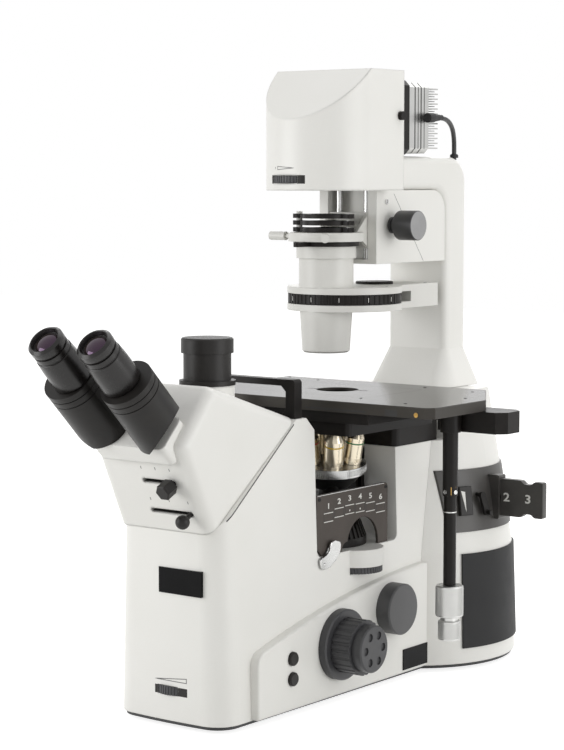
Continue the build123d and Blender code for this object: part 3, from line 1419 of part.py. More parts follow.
def tray(index):
    low = RING_HIGH_Z + SLIDE_GAP + TRAY_PITCH * index
    face = Circle(TRAY_R) + Pos(TRAY_POST_X, 0) * Circle(TRAY_POST_R + 4)
    face += Pos(TRAY_POST_X / 2, 0) * Rectangle(-TRAY_POST_X, 11)
    face -= Pos(TRAY_POST_X, 0) * Circle(TRAY_POST_R + RUN)
    tab = Pos(TRAY_R + 3, 0) * RectangleRounded(12, 12, 3)
    holder = layer(face + tab, low, low + TRAY_T)
    return holder - layer(Circle(TRAY_GLASS_R), low + 1.5, low + TRAY_T + 1)


def case_plan():
    """Plan of the condenser's turret case: a round front and a square tail."""
    tail = (CASE_Y + CASE_TAIL_Y) / 2
    return Pos(0, CASE_Y) * Circle(CASE_R) + Pos(0, tail) * Rectangle(2 * CASE_TAIL_HALF_W, CASE_TAIL_Y - CASE_Y)


def condenser_tube():
    """Lens cone, turret case and the upright tube that hangs in the ring."""
    plates = layer(case_plan(), CASE_LOW_Z, CASE_LOW_Z + CASE_PLATE_T)
    plates += layer(case_plan(), CASE_HIGH_Z - CASE_PLATE_T, CASE_HIGH_Z)
    plates += layer(case_plan(), CASE_LOW_Z, CASE_HIGH_Z) & block(-FAR, FAR, CASE_TAIL_FRONT_Y, FAR, 0, FAR * 2)
    mid_low, mid_high = CASE_LOW_Z + CASE_PLATE_T, CASE_HIGH_Z - CASE_PLATE_T
    plates += rod_z(FINE_SHAFT_R, mid_low - 1, mid_high + 1, 0, CASE_Y)
    plates -= rod_z(BEAM_R, CASE_LOW_Z - 1, CASE_HIGH_Z + 1)
    cone = Pos(0, 0, CONE_LOW_Z + CONE_H / 2) * Cone(CONE_LOW_R, CONE_HIGH_R, CONE_H)
    cone -= rod_z(BEAM_R - 3, CONE_LOW_Z + 4, CASE_LOW_Z + 1)
    cone = chamfer(cone.faces().sort_by(Axis.Z)[0].edges(), 2)
    step = CASE_HIGH_Z + TUBE_LOW_H
    tube = rod_z(TUBE_LOW_R, CASE_HIGH_Z, step) + rod_z(TUBE_HIGH_R, step, RING_LOW_Z)
    tube -= rod_z(BEAM_R, CASE_HIGH_Z - 1, RING_LOW_Z + 1)
    return [cone, plates, tube]


def condenser_turret():
    low = CASE_LOW_Z + CASE_PLATE_T + SLIDE_GAP
    high = CASE_HIGH_Z - CASE_PLATE_T - SLIDE_GAP
    wheel = Pos(0, CASE_Y, low) * ribbed_disc(WHEEL_R, high - low, 60, 1)
    wheel -= rod_z(FINE_SHAFT_R + RUN, low - 1, high + 1, 0, CASE_Y)
    for angle in spaced(WHEEL_HOLES):
        wheel -= Pos(0, CASE_Y, 0) * Rot(0, 0, angle) * rod_z(BEAM_R, low - 1, high + 1, 0, -CASE_Y)
    return wheel


def aperture_lever():
    high = RING_LOW_Z - SLIDE_GAP
    low = high - APERTURE_T
    inner = TUBE_HIGH_R + SLIDE_GAP
    outer = inner + APERTURE_RING_W
    ring = rod_z(outer, low, high) - rod_z(inner, low - 1, high + 1)
    arm = Pos(0, -outer - APERTURE_LEVER_L / 2 + 1) * RectangleRounded(7, APERTURE_LEVER_L + 2, 3)
    return ring + layer(arm, low, high)


def relay_mirror():
    """First-surface mirror at 45 degrees on a wedge that stands on the base plate."""
    half = MIRROR_SIDE / 2
    low, high = BODY_LOW_Z, BODY_LOW_Z + MIRROR_SIDE + 10
    wedge = side_cut([(half, low), (half, high), (half - 8, high), (-half, low + 10), (-half, low)], -half, half)
    return wedge


def write(name, shape):
    """Saves one sub-part; a list is a group of separate solids."""
    pieces = shape if isinstance(shape, list) else [shape]
    solids = [Pos(-ORIGIN_X, -ORIGIN_Y, 0) * solid for piece in pieces for solid in piece.solids()]
    export_step(Compound(children=solids) if len(solids) > 1 else solids[0], f"parts/{name}.step")


os.makedirs("parts", exist_ok=True)
HEAD = observation_head()
NODES = {
    "rubber_feet": rubber_feet(),
    "base_plate": base_plate(),
    "main_housing": main_housing(),
    "rear_tower": rear_tower(),
    "side_panels": side_panels(),
    "illuminator_band": illuminator_band(),
    "grip_panels": grip_panels(),
    "plates": plates(),
    "focus_flanges": focus_flanges(),
    "coarse_knobs": coarse_knobs(),
    "fine_knobs": fine_knobs(),
    "button_upper": button(BUTTON_Z[0]),
    "button_lower": button(BUTTON_Z[1]),
    "brightness_dial": brightness_dial(),
    "magnification_wheel": magnification_wheel(),
    "side_port_cap": side_port_cap(),
    "filter_slider": filter_slider(),
    "diaphragm_lever": diaphragm_lever(),
    "shutter_lever": shutter_lever(),
    "filter_turret": filter_turret(),
    "focus_guide": focus_guide(),
    "nosepiece_carrier": nosepiece_carrier(),
    "nosepiece_turret": nosepiece_turret(),
    "objectives": objectives(),
    "relay_mirror": relay_mirror(),
    "observation_head": HEAD,
    "selector_knob": selector_knob(),
    "light_path_lever": light_path_lever(),
    "phototube": phototube(),
    "phototube_cap": phototube_cap(),
    "tube_bridge": tube_bridge(HEAD),
    "tube_left": ocular_tube(-1),
    "tube_right": ocular_tube(1),
    "eyepiece_left": eyepiece(-1),
    "eyepiece_right": eyepiece(1),
    "guard_bracket": guard_bracket(),
    "stage_frame": stage_frame(),
    "stage_fixed_plate": stage_fixed_plate(),
    "stage_carriage": stage_carriage(),
    "stage_knob_upper": stage_knob_upper(),
    "stage_knob_lower": stage_knob_lower(),
    "stage_top": stage_top(),
    "stage_insert": stage_insert(),
    "arm_pillar": arm_pillar(),
    "tilt_hinge_pin": tilt_hinge_pin(),
    "lamp_head": lamp_head(),
    "field_dial": field_dial(),
    "lamp_mount": lamp_mount(),
    "lamp_heatsink": lamp_heatsink(),
    "lamp_lead": lamp_lead(),
    "condenser_block": condenser_block(),
    "guide_rods": guide_rods(),
    "condenser_knob": condenser_knob(),
    "condenser_carriage": condenser_carriage(),
    "condenser_tube": condenser_tube(),
    "condenser_turret": condenser_turret(),
    "aperture_lever": aperture_lever(),
}
for index in range(TRAY_COUNT):
    NODES[f"filter_tray_{index + 1}"] = tray(index)
for name, shape in NODES.items():
    write(name, shape)
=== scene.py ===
from math import cos, pi, radians, sin

import bmesh
import bpy
from mathutils import Matrix, Vector


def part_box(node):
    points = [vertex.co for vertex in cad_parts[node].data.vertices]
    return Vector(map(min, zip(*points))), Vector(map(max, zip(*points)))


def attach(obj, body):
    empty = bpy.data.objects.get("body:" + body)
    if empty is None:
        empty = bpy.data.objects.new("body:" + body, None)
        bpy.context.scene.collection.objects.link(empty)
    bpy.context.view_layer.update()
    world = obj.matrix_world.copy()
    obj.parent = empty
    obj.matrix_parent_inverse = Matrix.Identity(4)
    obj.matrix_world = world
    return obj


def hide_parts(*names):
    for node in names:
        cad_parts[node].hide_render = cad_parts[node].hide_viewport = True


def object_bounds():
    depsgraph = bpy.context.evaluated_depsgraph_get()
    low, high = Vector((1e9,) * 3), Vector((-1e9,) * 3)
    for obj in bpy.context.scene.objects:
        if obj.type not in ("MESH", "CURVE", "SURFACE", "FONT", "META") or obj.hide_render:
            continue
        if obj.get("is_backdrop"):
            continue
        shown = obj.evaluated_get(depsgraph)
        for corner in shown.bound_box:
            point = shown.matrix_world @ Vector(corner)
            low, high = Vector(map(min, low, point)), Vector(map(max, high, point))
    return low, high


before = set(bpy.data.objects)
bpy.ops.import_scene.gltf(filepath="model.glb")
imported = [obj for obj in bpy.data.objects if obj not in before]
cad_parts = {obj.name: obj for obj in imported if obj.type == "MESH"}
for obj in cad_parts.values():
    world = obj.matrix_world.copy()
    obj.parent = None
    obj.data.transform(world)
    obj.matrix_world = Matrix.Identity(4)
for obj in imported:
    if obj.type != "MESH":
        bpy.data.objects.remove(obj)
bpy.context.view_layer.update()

# The bench is a matt white paper sweep under even studio light. The paper shows as white to the camera and to
# polished metal, and still darkens where the stand keeps the light off it.
MM = 0.001
mirror_low, mirror_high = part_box("relay_mirror")
axis_x, axis_y = [(mirror_low[i] + mirror_high[i]) / 2 for i in (0, 1)]


def at(x, y, z):
    """A point given in mm from where the optical axis meets the bench, in metres in the frame."""
    return Vector((axis_x, axis_y, 0)) + Vector((x, y, z)) * MM


def linear(code):
    """Linear colour of an sRGB hex value."""
    shares = [int(code[i : i + 2], 16) / 255 for i in (0, 2, 4)]
    return [s / 12.92 if s <= 0.04045 else ((s + 0.055) / 1.055) ** 2.4 for s in shares] + [1]


def add(tree, kind, inputs={}, **settings):
    """Adds a node with its settings, values and links."""
    made = tree.nodes.new(kind)
    for name, value in settings.items():
        setattr(made, name, value)
    for name, value in inputs.items():
        if isinstance(value, bpy.types.NodeSocket):
            tree.links.new(value, made.inputs[name])
        else:
            made.inputs[name].default_value = value
    return made


def seen_ray(tree):
    """1 for rays that show the background: straight, mirrored or through glass."""
    path = add(tree, "ShaderNodeLightPath")
    either = add(tree, "ShaderNodeMath", {0: path.outputs["Is Camera Ray"], 1: path.outputs["Is Glossy Ray"]},
                 operation="MAXIMUM")
    every = add(tree, "ShaderNodeMath", {0: either.outputs[0], 1: path.outputs["Is Transmission Ray"]},
                operation="MAXIMUM")
    return every.outputs[0]


def in_scene(name, data):
    """A new object for a mesh, curve, lamp or camera, linked to the scene."""
    made = bpy.data.objects.new(name, data)
    bpy.context.scene.collection.objects.link(made)
    return made


paper = bpy.data.materials.new("matt_white_paper")
paper.use_nodes = True
tree = paper.node_tree
tree.nodes.clear()
sheet_light = add(tree, "ShaderNodeEmission", {"Color": linear("FFFFFF"), "Strength": 0.8})
sheet_dark = add(tree, "ShaderNodeEmission", {"Color": linear("FFFFFF"), "Strength": 0.0})
sheet_glow = add(tree, "ShaderNodeMixShader", {0: seen_ray(tree), 1: sheet_dark.outputs[0], 2: sheet_light.outputs[0]})
sheet_fibre = add(tree, "ShaderNodeBsdfDiffuse", {"Color": linear("D6D6D4")})
sheet_both = add(tree, "ShaderNodeAddShader", {0: sheet_fibre.outputs[0], 1: sheet_glow.outputs[0]})
add(tree, "ShaderNodeOutputMaterial", {"Surface": sheet_both.outputs[0]})

sheet_mesh = bpy.data.meshes.new("bench")
reach = 6
sheet_mesh.from_pydata([(-reach, -reach, 0), (reach, -reach, 0), (reach, reach, 0), (-reach, reach, 0)], [],
                       [(0, 1, 2, 3)])
sheet_mesh.materials.append(paper)
bench = in_scene("bench", sheet_mesh)
bench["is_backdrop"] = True

world = bpy.data.worlds.new("studio")
bpy.context.scene.world = world
world.use_nodes = True
tree = world.node_tree
tree.nodes.clear()
sky_soft = add(tree, "ShaderNodeBackground", {"Color": linear("FFFFFF"), "Strength": 0.6})
sky_white = add(tree, "ShaderNodeBackground", {"Color": linear("FFFFFF"), "Strength": 1.0})
sky = add(tree, "ShaderNodeMixShader", {0: seen_ray(tree), 1: sky_soft.outputs[0], 2: sky_white.outputs[0]})
add(tree, "ShaderNodeOutputWorld", {"Surface": sky.outputs[0]})
bpy.context.scene.view_settings.view_transform = "Standard"


def softbox(name, place, aim, width, watts):
    """A square studio lamp that faces a point."""
    data = bpy.data.lights.new(name, "AREA")
    data.size = width
    data.energy = watts
    lamp = in_scene(name, data)
    lamp.location = at(*place)
    lamp.rotation_euler = (at(*aim) - at(*place)).to_track_quat("-Z", "Y").to_euler()


softbox("right", (2400, 300, 500), (60, 60, 250), 1.6, 25)
softbox("front", (-1500, -2200, 800), (0, 0, 300), 1.5, 30)
softbox("above", (300, 900, 2200), (0, 0, 300), 1.6, 13)
softbox("behind", (-900, 1900, 1500), (0, 0, 400), 1.2, 12)

camera_data = bpy.data.cameras.new("camera")
camera_data.sensor_width = 36
camera_data.lens = 101.28
camera = in_scene("camera", camera_data)
camera.location = at(1409.8, -1940.46, 574.95)
camera_dip, camera_turn = 5.334, 37.2
camera.rotation_euler = (radians(90 - camera_dip), 0, radians(camera_turn))
bpy.context.scene.camera = camera

# Feet and base plate. Four moulded rubber pads stand under a sheet steel plate with a black coat,
# which closes the casting from below and takes the pads' screws.


def solid_finish(name, colour, second, edge, tone, grain, height, rough, spread, metallic=0, soft=0.6, zone=None,
                 shine=0.5, tint="FFFFFF"):
    """A surface of two near tones with grain. tone, grain, height and soft are in mm.

    shine and tint are the level and colour of its gloss. zone is (direction, level in mm, colour, second, rough,
    metallic) for another finish past a flat border.
    """
    made = bpy.data.materials.new(name)
    made.use_nodes = True
    tree = made.node_tree
    tree.nodes.clear()
    place = add(tree, "ShaderNodeTexCoord").outputs["Object"]
    clouds = add(tree, "ShaderNodeTexNoise", {"Vector": place, "Scale": 1000 / tone, "Detail": 3})
    grit = add(tree, "ShaderNodeTexNoise", {"Vector": place, "Scale": 1000 / grain, "Detail": 2})
    both = add(tree, "ShaderNodeMix", {0: 0.35, 2: clouds.outputs[0], 3: grit.outputs[0]}, data_type="FLOAT")
    share = add(tree, "ShaderNodeMapRange", {0: both.outputs[0], 1: 0.35, 2: 0.65})
    tones = add(tree, "ShaderNodeMix", {0: share.outputs[0], 6: linear(colour), 7: linear(second)}, data_type="RGBA")
    gloss = add(tree, "ShaderNodeMapRange", {0: both.outputs[0], 1: 0.3, 2: 0.7, 3: rough - spread, 4: rough + spread})
    metal = metallic
    if zone:
        way, level, far_colour, far_second, far_rough, far_metal = zone
        along = add(tree, "ShaderNodeVectorMath", {0: place, 1: way}, operation="DOT_PRODUCT")
        blend = 0.05
        past = add(tree, "ShaderNodeMapRange", {0: along.outputs["Value"], 1: (level - blend) * MM,
                                                2: (level + blend) * MM})
        far_tones = add(tree, "ShaderNodeMix", {0: share.outputs[0], 6: linear(far_colour), 7: linear(far_second)},
                        data_type="RGBA")
        tones = add(tree, "ShaderNodeMix", {0: past.outputs[0], 6: tones.outputs[2], 7: far_tones.outputs[2]},
                    data_type="RGBA")
        gloss = add(tree, "ShaderNodeMapRange", {0: past.outputs[0], 3: gloss.outputs[0], 4: far_rough})
        metal = add(tree, "ShaderNodeMapRange", {0: past.outputs[0], 3: metallic, 4: far_metal}).outputs[0]
    # Painted highlight: the edge colour is mixed in, up to about half, where the surface turns at an edge, so edges are
    # painted lighter.
    eased = add(tree, "ShaderNodeBevel", {"Radius": soft * MM}, samples=4)
    flat = add(tree, "ShaderNodeNewGeometry")
    turn = add(tree, "ShaderNodeVectorMath", {0: eased.outputs[0], 1: flat.outputs["Normal"]}, operation="DOT_PRODUCT")
    rim = add(tree, "ShaderNodeMapRange", {0: turn.outputs["Value"], 1: 0.995, 2: 0.8, 3: 0.0, 4: 0.55})
    edge_highlight = add(tree, "ShaderNodeMix", {0: rim.outputs[0], 6: tones.outputs[2], 7: linear(edge)}, data_type="RGBA")
    bump = add(tree, "ShaderNodeBump", {"Strength": 0.6, "Distance": height * MM, "Height": grit.outputs[0],
                                        "Normal": eased.outputs[0]})
    skin = add(tree, "ShaderNodeBsdfPrincipled", {"Base Color": edge_highlight.outputs[2], "Roughness": gloss.outputs[0],
                                                  "Normal": bump.outputs[0], "Metallic": metal, "IOR": 1.5,
                                                  "Specular IOR Level": shine, "Specular Tint": linear(tint)})
    add(tree, "ShaderNodeOutputMaterial", {"Surface": skin.outputs[0]})
    return made


def dress(material, *names):
    """Gives CAD nodes their finish."""
    for name in names:
        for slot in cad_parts[name].material_slots:
            slot.material = material


rubber = solid_finish("moulded_rubber", "1E1E1F", "262627", "2E2E2F", 9, 0.5, 0.04, 0.72, 0.08)
black_coat = solid_finish("black_coated_steel", "202021", "282829", "3A3A3B", 14, 0.6, 0.03, 0.5, 0.06)
dress(rubber, "rubber_feet")
dress(black_coat, "base_plate")

# Stand. The housing, the tower and the raised side covers are aluminium castings with a baked white enamel,
# which has a faint orange-peel skin, an even satin gloss and a slightly warm tone.
enamel = solid_finish("baked_white_enamel", "E9E8E4", "E4E3DE", "F1F0EC", 140, 0.8, 0.012, 0.4, 0.05, soft=1.4)
soft_enamel = solid_finish("baked_white_enamel_cover", "E9E8E4", "E4E3DE", "F1F0EC", 140, 0.8, 0.012, 0.4, 0.05, soft=4)
dress(enamel, "main_housing", "rear_tower", "side_panels")

# Grips and illuminator band. Dark moulded covers are let into the tower, with a spark-eroded skin
# that breaks up the light; the band's own face is smoother and a little lighter.
spark_plastic = solid_finish("spark_eroded_abs", "202021", "262627", "303031", 20, 0.9, 0.05, 0.6, 0.07, shine=0.25)
# The satin black finish also colours painted slot shade: strips at the ends of the dial slots and linings in the head's
# lever slots.
black_abs_and_slot_shade = solid_finish("satin_black_abs_and_painted_slot_shade", "1A1817", "211F1D", "302D2B", 18, 0.7, 0.025, 0.42, 0.06, shine=0.26)
dress(spark_plastic, "grip_panels")
band_plastic = solid_finish("satin_grey_abs", "3A3836", "43413E", "55534F", 18, 0.7, 0.025, 0.42, 0.06)
dress(band_plastic, "illuminator_band")
dress(black_abs_and_slot_shade, "diaphragm_lever")

# Plates. The two name plates are left bare, in polished black acrylic. The number plate over the filter turret
# is aluminium with a brown-grey satin coat, screen-printed numbers in black and white boxes and two corner screws.
# A polished steel strip along its upper edge is a painted highlight, standing for the light caught by that edge.


def as_mesh(name, shape):
    """Turns a bmesh into a mesh."""
    made = bpy.data.meshes.new(name)
    shape.to_mesh(made)
    shape.free()
    return made


def merge(shape, mesh):
    """Adds a mesh to a bmesh in the making, and drops the mesh."""
    shape.from_mesh(mesh)
    bpy.data.meshes.remove(mesh)


def plain_mesh(holder):
    """The mesh that an object shows, without the object."""
    mesh = bpy.data.meshes.new_from_object(holder.evaluated_get(bpy.context.evaluated_depsgraph_get()))
    bpy.data.objects.remove(holder)
    return mesh


def finished(name, shape, body, material=None):
    """Puts a piece, made as a bmesh or a mesh, in the scene and on its body."""
    mesh = as_mesh(name, shape) if isinstance(shape, bmesh.types.BMesh) else shape
    if material:
        mesh.materials.clear()
        mesh.materials.append(material)
    piece = in_scene(name, mesh)
    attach(piece, body)
    return piece


def spot(node, start, way):
    """Where a line from a point in mm meets a CAD node, in metres."""
    hit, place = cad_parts[node].ray_cast(at(*start), Vector(way).normalized())[:2]
    if not hit:
        raise ValueError(f"no face of {node} at {start}")
    return place


def ink_lines(shape, node, centre, across, up, lines, width):
    """Adds thin lines that follow a node's face. lines are (closed, points), points are (across, up) in mm."""
    across, up = Vector(across).normalized(), Vector(up).normalized()
    out = across.cross(up)
    proud, sunk, step, clear = 0.1, -0.2, 3, 30
    for closed, corners in lines:
        ends = list(zip(corners, corners[1:] + corners[:1] if closed else corners[1:]))
        path = []
        for (a, b), (c, d) in ends:
            steps = max(1, int(((c - a) ** 2 + (d - b) ** 2) ** 0.5 / step))
            path += [Vector((a + (c - a) * i / steps, b + (d - b) * i / steps)) for i in range(steps)]
        if not closed:
            path.append(Vector(corners[-1]))
        count = len(path)
        rings = []
        for i, here in enumerate(path):
            before = here - path[i - 1] if closed or i else path[1] - here
            after = path[(i + 1) % count] - here if closed or i < count - 1 else before
            side = before.normalized() + after.normalized()
            side = Vector((-side.y, side.x)).normalized()
            side *= width / 2 / max(0.3, abs(side.dot(Vector((-before.y, before.x)).normalized())))
            ring = []
            for flat, lift in ((here + side, proud), (here - side, proud), (here - side, sunk), (here + side, sunk)):
                above = Vector(centre) + across * flat.x + up * flat.y + out * clear
                ring.append(shape.verts.new(spot(node, above, -out) + out * lift * MM))
            rings.append(ring)
        pairs = zip(rings, rings[1:] + rings[:1]) if closed else zip(rings, rings[1:])
        for first, last in pairs:
            for k in range(4):
                shape.faces.new((first[k], last[k], last[k - 3], first[k - 3]))
        if not closed:
            shape.faces.new(rings[0])
            shape.faces.new(rings[-1][::-1])
    bmesh.ops.recalc_face_normals(shape, faces=shape.faces)


def lying(place, across, up):
    """Matrix that lays X and Y along two directions, at a place in metres."""
    across, up = Vector(across).normalized(), Vector(up).normalized()
    return Matrix.Translation(place) @ Matrix((across, up, across.cross(up))).transposed().to_4x4()


def ink_number(shape, mark, height, wide, place, across, up):
    """Adds a printed number to a flat face, wider by a share. place is in metres, on the face."""
    letter = bpy.data.curves.new("number", "FONT")
    letter.body = mark
    letter.size = height * MM
    letter.align_x = "CENTER"
    letter.align_y = "CENTER"
    letter.extrude = 0.12 * MM
    letter.offset = 0.02 * height * MM
    letter.resolution_u = 4
    flat = plain_mesh(in_scene("number", letter))
    solid = bmesh.new()
    solid.from_mesh(flat)
    bmesh.ops.remove_doubles(solid, verts=solid.verts, dist=0.01 * MM)
    bmesh.ops.transform(solid, matrix=lying(place, across, up) @ Matrix.Diagonal((wide, 1, 1, 1)), verts=solid.verts)
    solid.to_mesh(flat)
    solid.free()
    merge(shape, flat)


def repeats(name, inputs):
    """A node tree for repeats, with named inputs."""
    tree = bpy.data.node_groups.new(name, "GeometryNodeTree")
    tree.interface.new_socket("Geometry", in_out="OUTPUT", socket_type="NodeSocketGeometry")
    for label, kind in inputs:
        tree.interface.new_socket(label, in_out="INPUT", socket_type="NodeSocket" + kind)
    return tree


def close_repeats(tree, given, placed):
    """Ends a tree: its instances become plain mesh in the given material."""
    plain = add(tree, "GeometryNodeRealizeInstances", {"Geometry": placed.outputs[0]})
    coated = add(tree, "GeometryNodeSetMaterial", {"Geometry": plain.outputs[0], "Material": given.outputs["Material"]})
    add(tree, "NodeGroupOutput", {0: coated.outputs[0]})


def grown(name, tree, values, points=()):
    """The plain mesh that a tree makes. points are (place, facing)."""
    seed = bpy.data.meshes.new(name)
    seed.from_pydata([p for p, facing in points], [], [])
    if points:
        ways = seed.attributes.new("facing", "FLOAT_VECTOR", "POINT")
        for item, (p, facing) in zip(ways.data, points):
            item.vector = facing
    holder = in_scene(name, seed)
    modifier = holder.modifiers.new(name, "NODES")
    modifier.node_group = tree
    for item in tree.interface.items_tree:
        if item.in_out == "INPUT" and item.name in values:
            modifier[item.identifier] = values[item.name]
    return plain_mesh(holder)


screw_heads = repeats("screw_heads", [("Points", "Geometry"), ("Radius", "Float"), ("Height", "Float"),
                                      ("Socket", "Float"), ("Material", "Material")])
given = add(screw_heads, "NodeGroupInput")
head = add(screw_heads, "GeometryNodeMeshCylinder", {"Vertices": 20, "Radius": given.outputs["Radius"],
                                                     "Depth": given.outputs["Height"]})
rim = add(screw_heads, "GeometryNodeExtrudeMesh", {"Mesh": head.outputs["Mesh"], "Selection": head.outputs["Top"],
                                                   "Offset Scale": 0.0})
share = add(screw_heads, "ShaderNodeMath", {0: given.outputs["Socket"], 1: given.outputs["Radius"]}, operation="DIVIDE")
inner = add(screw_heads, "GeometryNodeScaleElements", {"Geometry": rim.outputs["Mesh"],
                                                       "Selection": rim.outputs["Top"], "Scale": share.outputs[0]})
depth = add(screw_heads, "ShaderNodeMath", {0: given.outputs["Height"], 1: -0.4}, operation="MULTIPLY")
pocket = add(screw_heads, "GeometryNodeExtrudeMesh", {"Mesh": inner.outputs[0], "Selection": rim.outputs["Top"],
                                                      "Offset Scale": depth.outputs[0]})
facing = add(screw_heads, "GeometryNodeInputNamedAttribute", {"Name": "facing"}, data_type="FLOAT_VECTOR")
turn = add(screw_heads, "FunctionNodeAlignRotationToVector", {"Vector": facing.outputs[0]}, axis="Z")
placed = add(screw_heads, "GeometryNodeInstanceOnPoints", {"Points": given.outputs["Points"],
                                                           "Instance": pocket.outputs["Mesh"],
                                                           "Rotation": turn.outputs[0]})
close_repeats(screw_heads, given, placed)


def screws(name, body, material, radius, proud, points):
    """A set of round-head screws with a socket, half sunk in what they hold."""
    values = {"Radius": radius * MM, "Height": 2 * proud * MM, "Socket": radius * 0.5 * MM, "Material": material}
    return finished(name, grown(name, screw_heads, values, points), body)


side_face = (0, 1, 0), (0, 0, 1)
front_face = (1, 0, 0), (0, 0, 1)
plate_way = (0, 0.5, 1)
plate_level = at(0, 0, 95).dot(Vector(plate_way)) / MM
acrylic = solid_finish("polished_black_acrylic", "0D0D0E", "121213", "242425", 30, 1.5, 0.002, 0.14, 0.03,
                       zone=(plate_way, plate_level, "4E4945", "544E4A", 0.42, 0.2), shine=0.08)
dress(acrylic, "plates")
white_ink = solid_finish("white_screen_ink", "E2E1DC", "DAD9D4", "E8E7E3", 6, 0.5, 0.004, 0.55, 0.05, soft=0.05)
black_screw = solid_finish("black_oxide_steel", "1B1B1B", "242424", "4A4A4A", 4, 0.3, 0.006, 0.4, 0.06, metallic=0.6,
                           soft=0.2)
number_rows = [(-93, 218), (-73, 221), (-53, 222), (-33, 221.5), (-13, 220), (7, 216.5)]
plate_x, box_half, box_drop = 75, 8.5, 12.2
ink, dark_ink_shape = bmesh.new(), bmesh.new()
for index, (y, z) in enumerate(number_rows):
    ink_number(ink, str(index + 1), 8.5, 1.5, spot("plates", (130, y, z), (-1, 0, 0)), *side_face)
    for drop in (7.5, 17):
        ink_lines(ink, "plates", (plate_x, y, z - drop), *side_face, [(False, [(-box_half, 0), (box_half, 0)])], 0.9)
    ink_lines(dark_ink_shape, "plates", (plate_x, y, z - box_drop), *side_face,
              [(False, [(x, -4.2), (x, 4.2)]) for x in (-box_half, box_half)], 0.7)
    if index in (2, 3):
        ink_lines(ink, "plates", (plate_x, y, z - 13.5), *side_face, [(False, [(-0.9, 0), (0.9, 0)])], 1.8)
finished("number_marks", ink, "stand", white_ink)
# This black ink also colours painted shade: the line beside the head's joint and the strips in the stage's edge slots.
print_and_shade_ink = solid_finish("black_screen_ink_and_painted_shade", "1C1B1A", "222120", "1C1B1A", 6, 0.5, 0.004, 0.5, 0.05, soft=0.05)
finished("number_boxes", dark_ink_shape, "stand", print_and_shade_ink)
screws("number_plate_screws", "stand", black_screw, 2.2, 0.6,
       [(spot("plates", (130, y, 227), (-1, 0, 0)), (1, 0, 0)) for y in (-110, 17)])
steel = solid_finish("polished_steel", "B9B9B8", "C6C6C5", "DEDEDD", 8, 0.4, 0.004, 0.22, 0.05, metallic=1)
# Painted highlight: a polished steel strip along the plate's upper edge stands for the light that edge catches.
plate_edge_highlight = bmesh.new()
ink_lines(plate_edge_highlight, "plates", (plate_x, -48, 231.2), *side_face, [(False, [(-66, 0), (62, 0)])], 0.8)
finished("number_plate_edge", plate_edge_highlight, "stand", steel)

# Marks on the stand. Grey printed ramps and ticks show which way the brightness dial and the head's levers turn.
# They are screen printed on the enamel, thin enough to follow its curve. Dark strips at the ends of the dial's slot are
# painted shade, standing for the shade in the slot's opening.
grey_ink = solid_finish("grey_screen_ink", "5A5A5A", "626262", "5A5A5A", 6, 0.5, 0.004, 0.6, 0.05, soft=0.05)
ink = bmesh.new()
ink_lines(ink, "main_housing", (6, -285, 53), *front_face, [(True, [(-20, -1.5), (22, -1.5), (22, 3)])], 0.8)
head_up = (0, -0.425399, 0.905006)
ink_lines(ink, "observation_head", (15, -310, 283), (1, 0, 0), head_up,
          [(False, [(x, -1.6), (x, 1.6)]) for x in (-19, 0, 19)], 0.8)
ink_lines(ink, "observation_head", (20, -297, 247), (1, 0, 0), head_up,
          [(False, [(x, -1.6), (x, 1.6)]) for x in (-25, 0, 25)], 0.8)
finished("stand_marks", ink, "stand", grey_ink)
# Painted shade: dark strips on the enamel at both ends of the dial's slot stand for the shade in its opening.
slot_shape = bmesh.new()
ink_lines(slot_shape, "main_housing", (3, -285, 41), *front_face,
          [(False, [(13.8, 0), (26, 0)]), (False, [(-17.5, 0), (-13.6, 0)])], 9)
finished("dial_slot_end_shade", slot_shape, "stand", black_abs_and_slot_shade)

# Focus drive. Coarse knobs are moulded with broad ribs, the fine knobs inside them have finger dimples,
# and both turn in black flanges on the side covers.
knob_plastic = solid_finish("moulded_black_nylon", "333335", "3B3B3D", "525254", 16, 0.8, 0.035, 0.45, 0.06)
dress(knob_plastic, "focus_flanges", "coarse_knobs", "fine_knobs", "brightness_dial", "magnification_wheel")
dress(black_abs_and_slot_shade, "button_upper", "button_lower")
acetal = solid_finish("turned_grey_acetal", "464647", "4D4D4E", "5A5A5B", 16, 0.8, 0.02, 0.45, 0.05)
dress(acetal, "side_port_cap")

# Chamber. The filter turret and the nosepiece carrier are machined and black anodised, and the nosepiece has a
# satin ring with a knurled grip round its black cone. The shutter's bent lever is polished steel on a short pin.
anodised = solid_finish("black_anodised_aluminium", "151312", "1C1917", "383431", 12, 0.5, 0.012, 0.4, 0.06,
                        shine=0.16)
nose_axis = (0.09841, -0.09841, 0.990268)
nose_origin = Vector((18.2059, -18.2059, 257.381))
ring_level = at(*nose_origin).dot(Vector(nose_axis)) / MM - 12.3
nose_finish = solid_finish("anodised_nosepiece", "1A1A1A", "222222", "505050", 12, 0.5, 0.01, 0.35, 0.05, metallic=0.2,
                           zone=(nose_axis, ring_level, "B4B4B3", "C0C0BF", 0.27, 1))
dress(anodised, "filter_turret", "nosepiece_carrier", "focus_guide")
dress(nose_finish, "nosepiece_turret")
dress(steel, "relay_mirror", "tilt_hinge_pin")

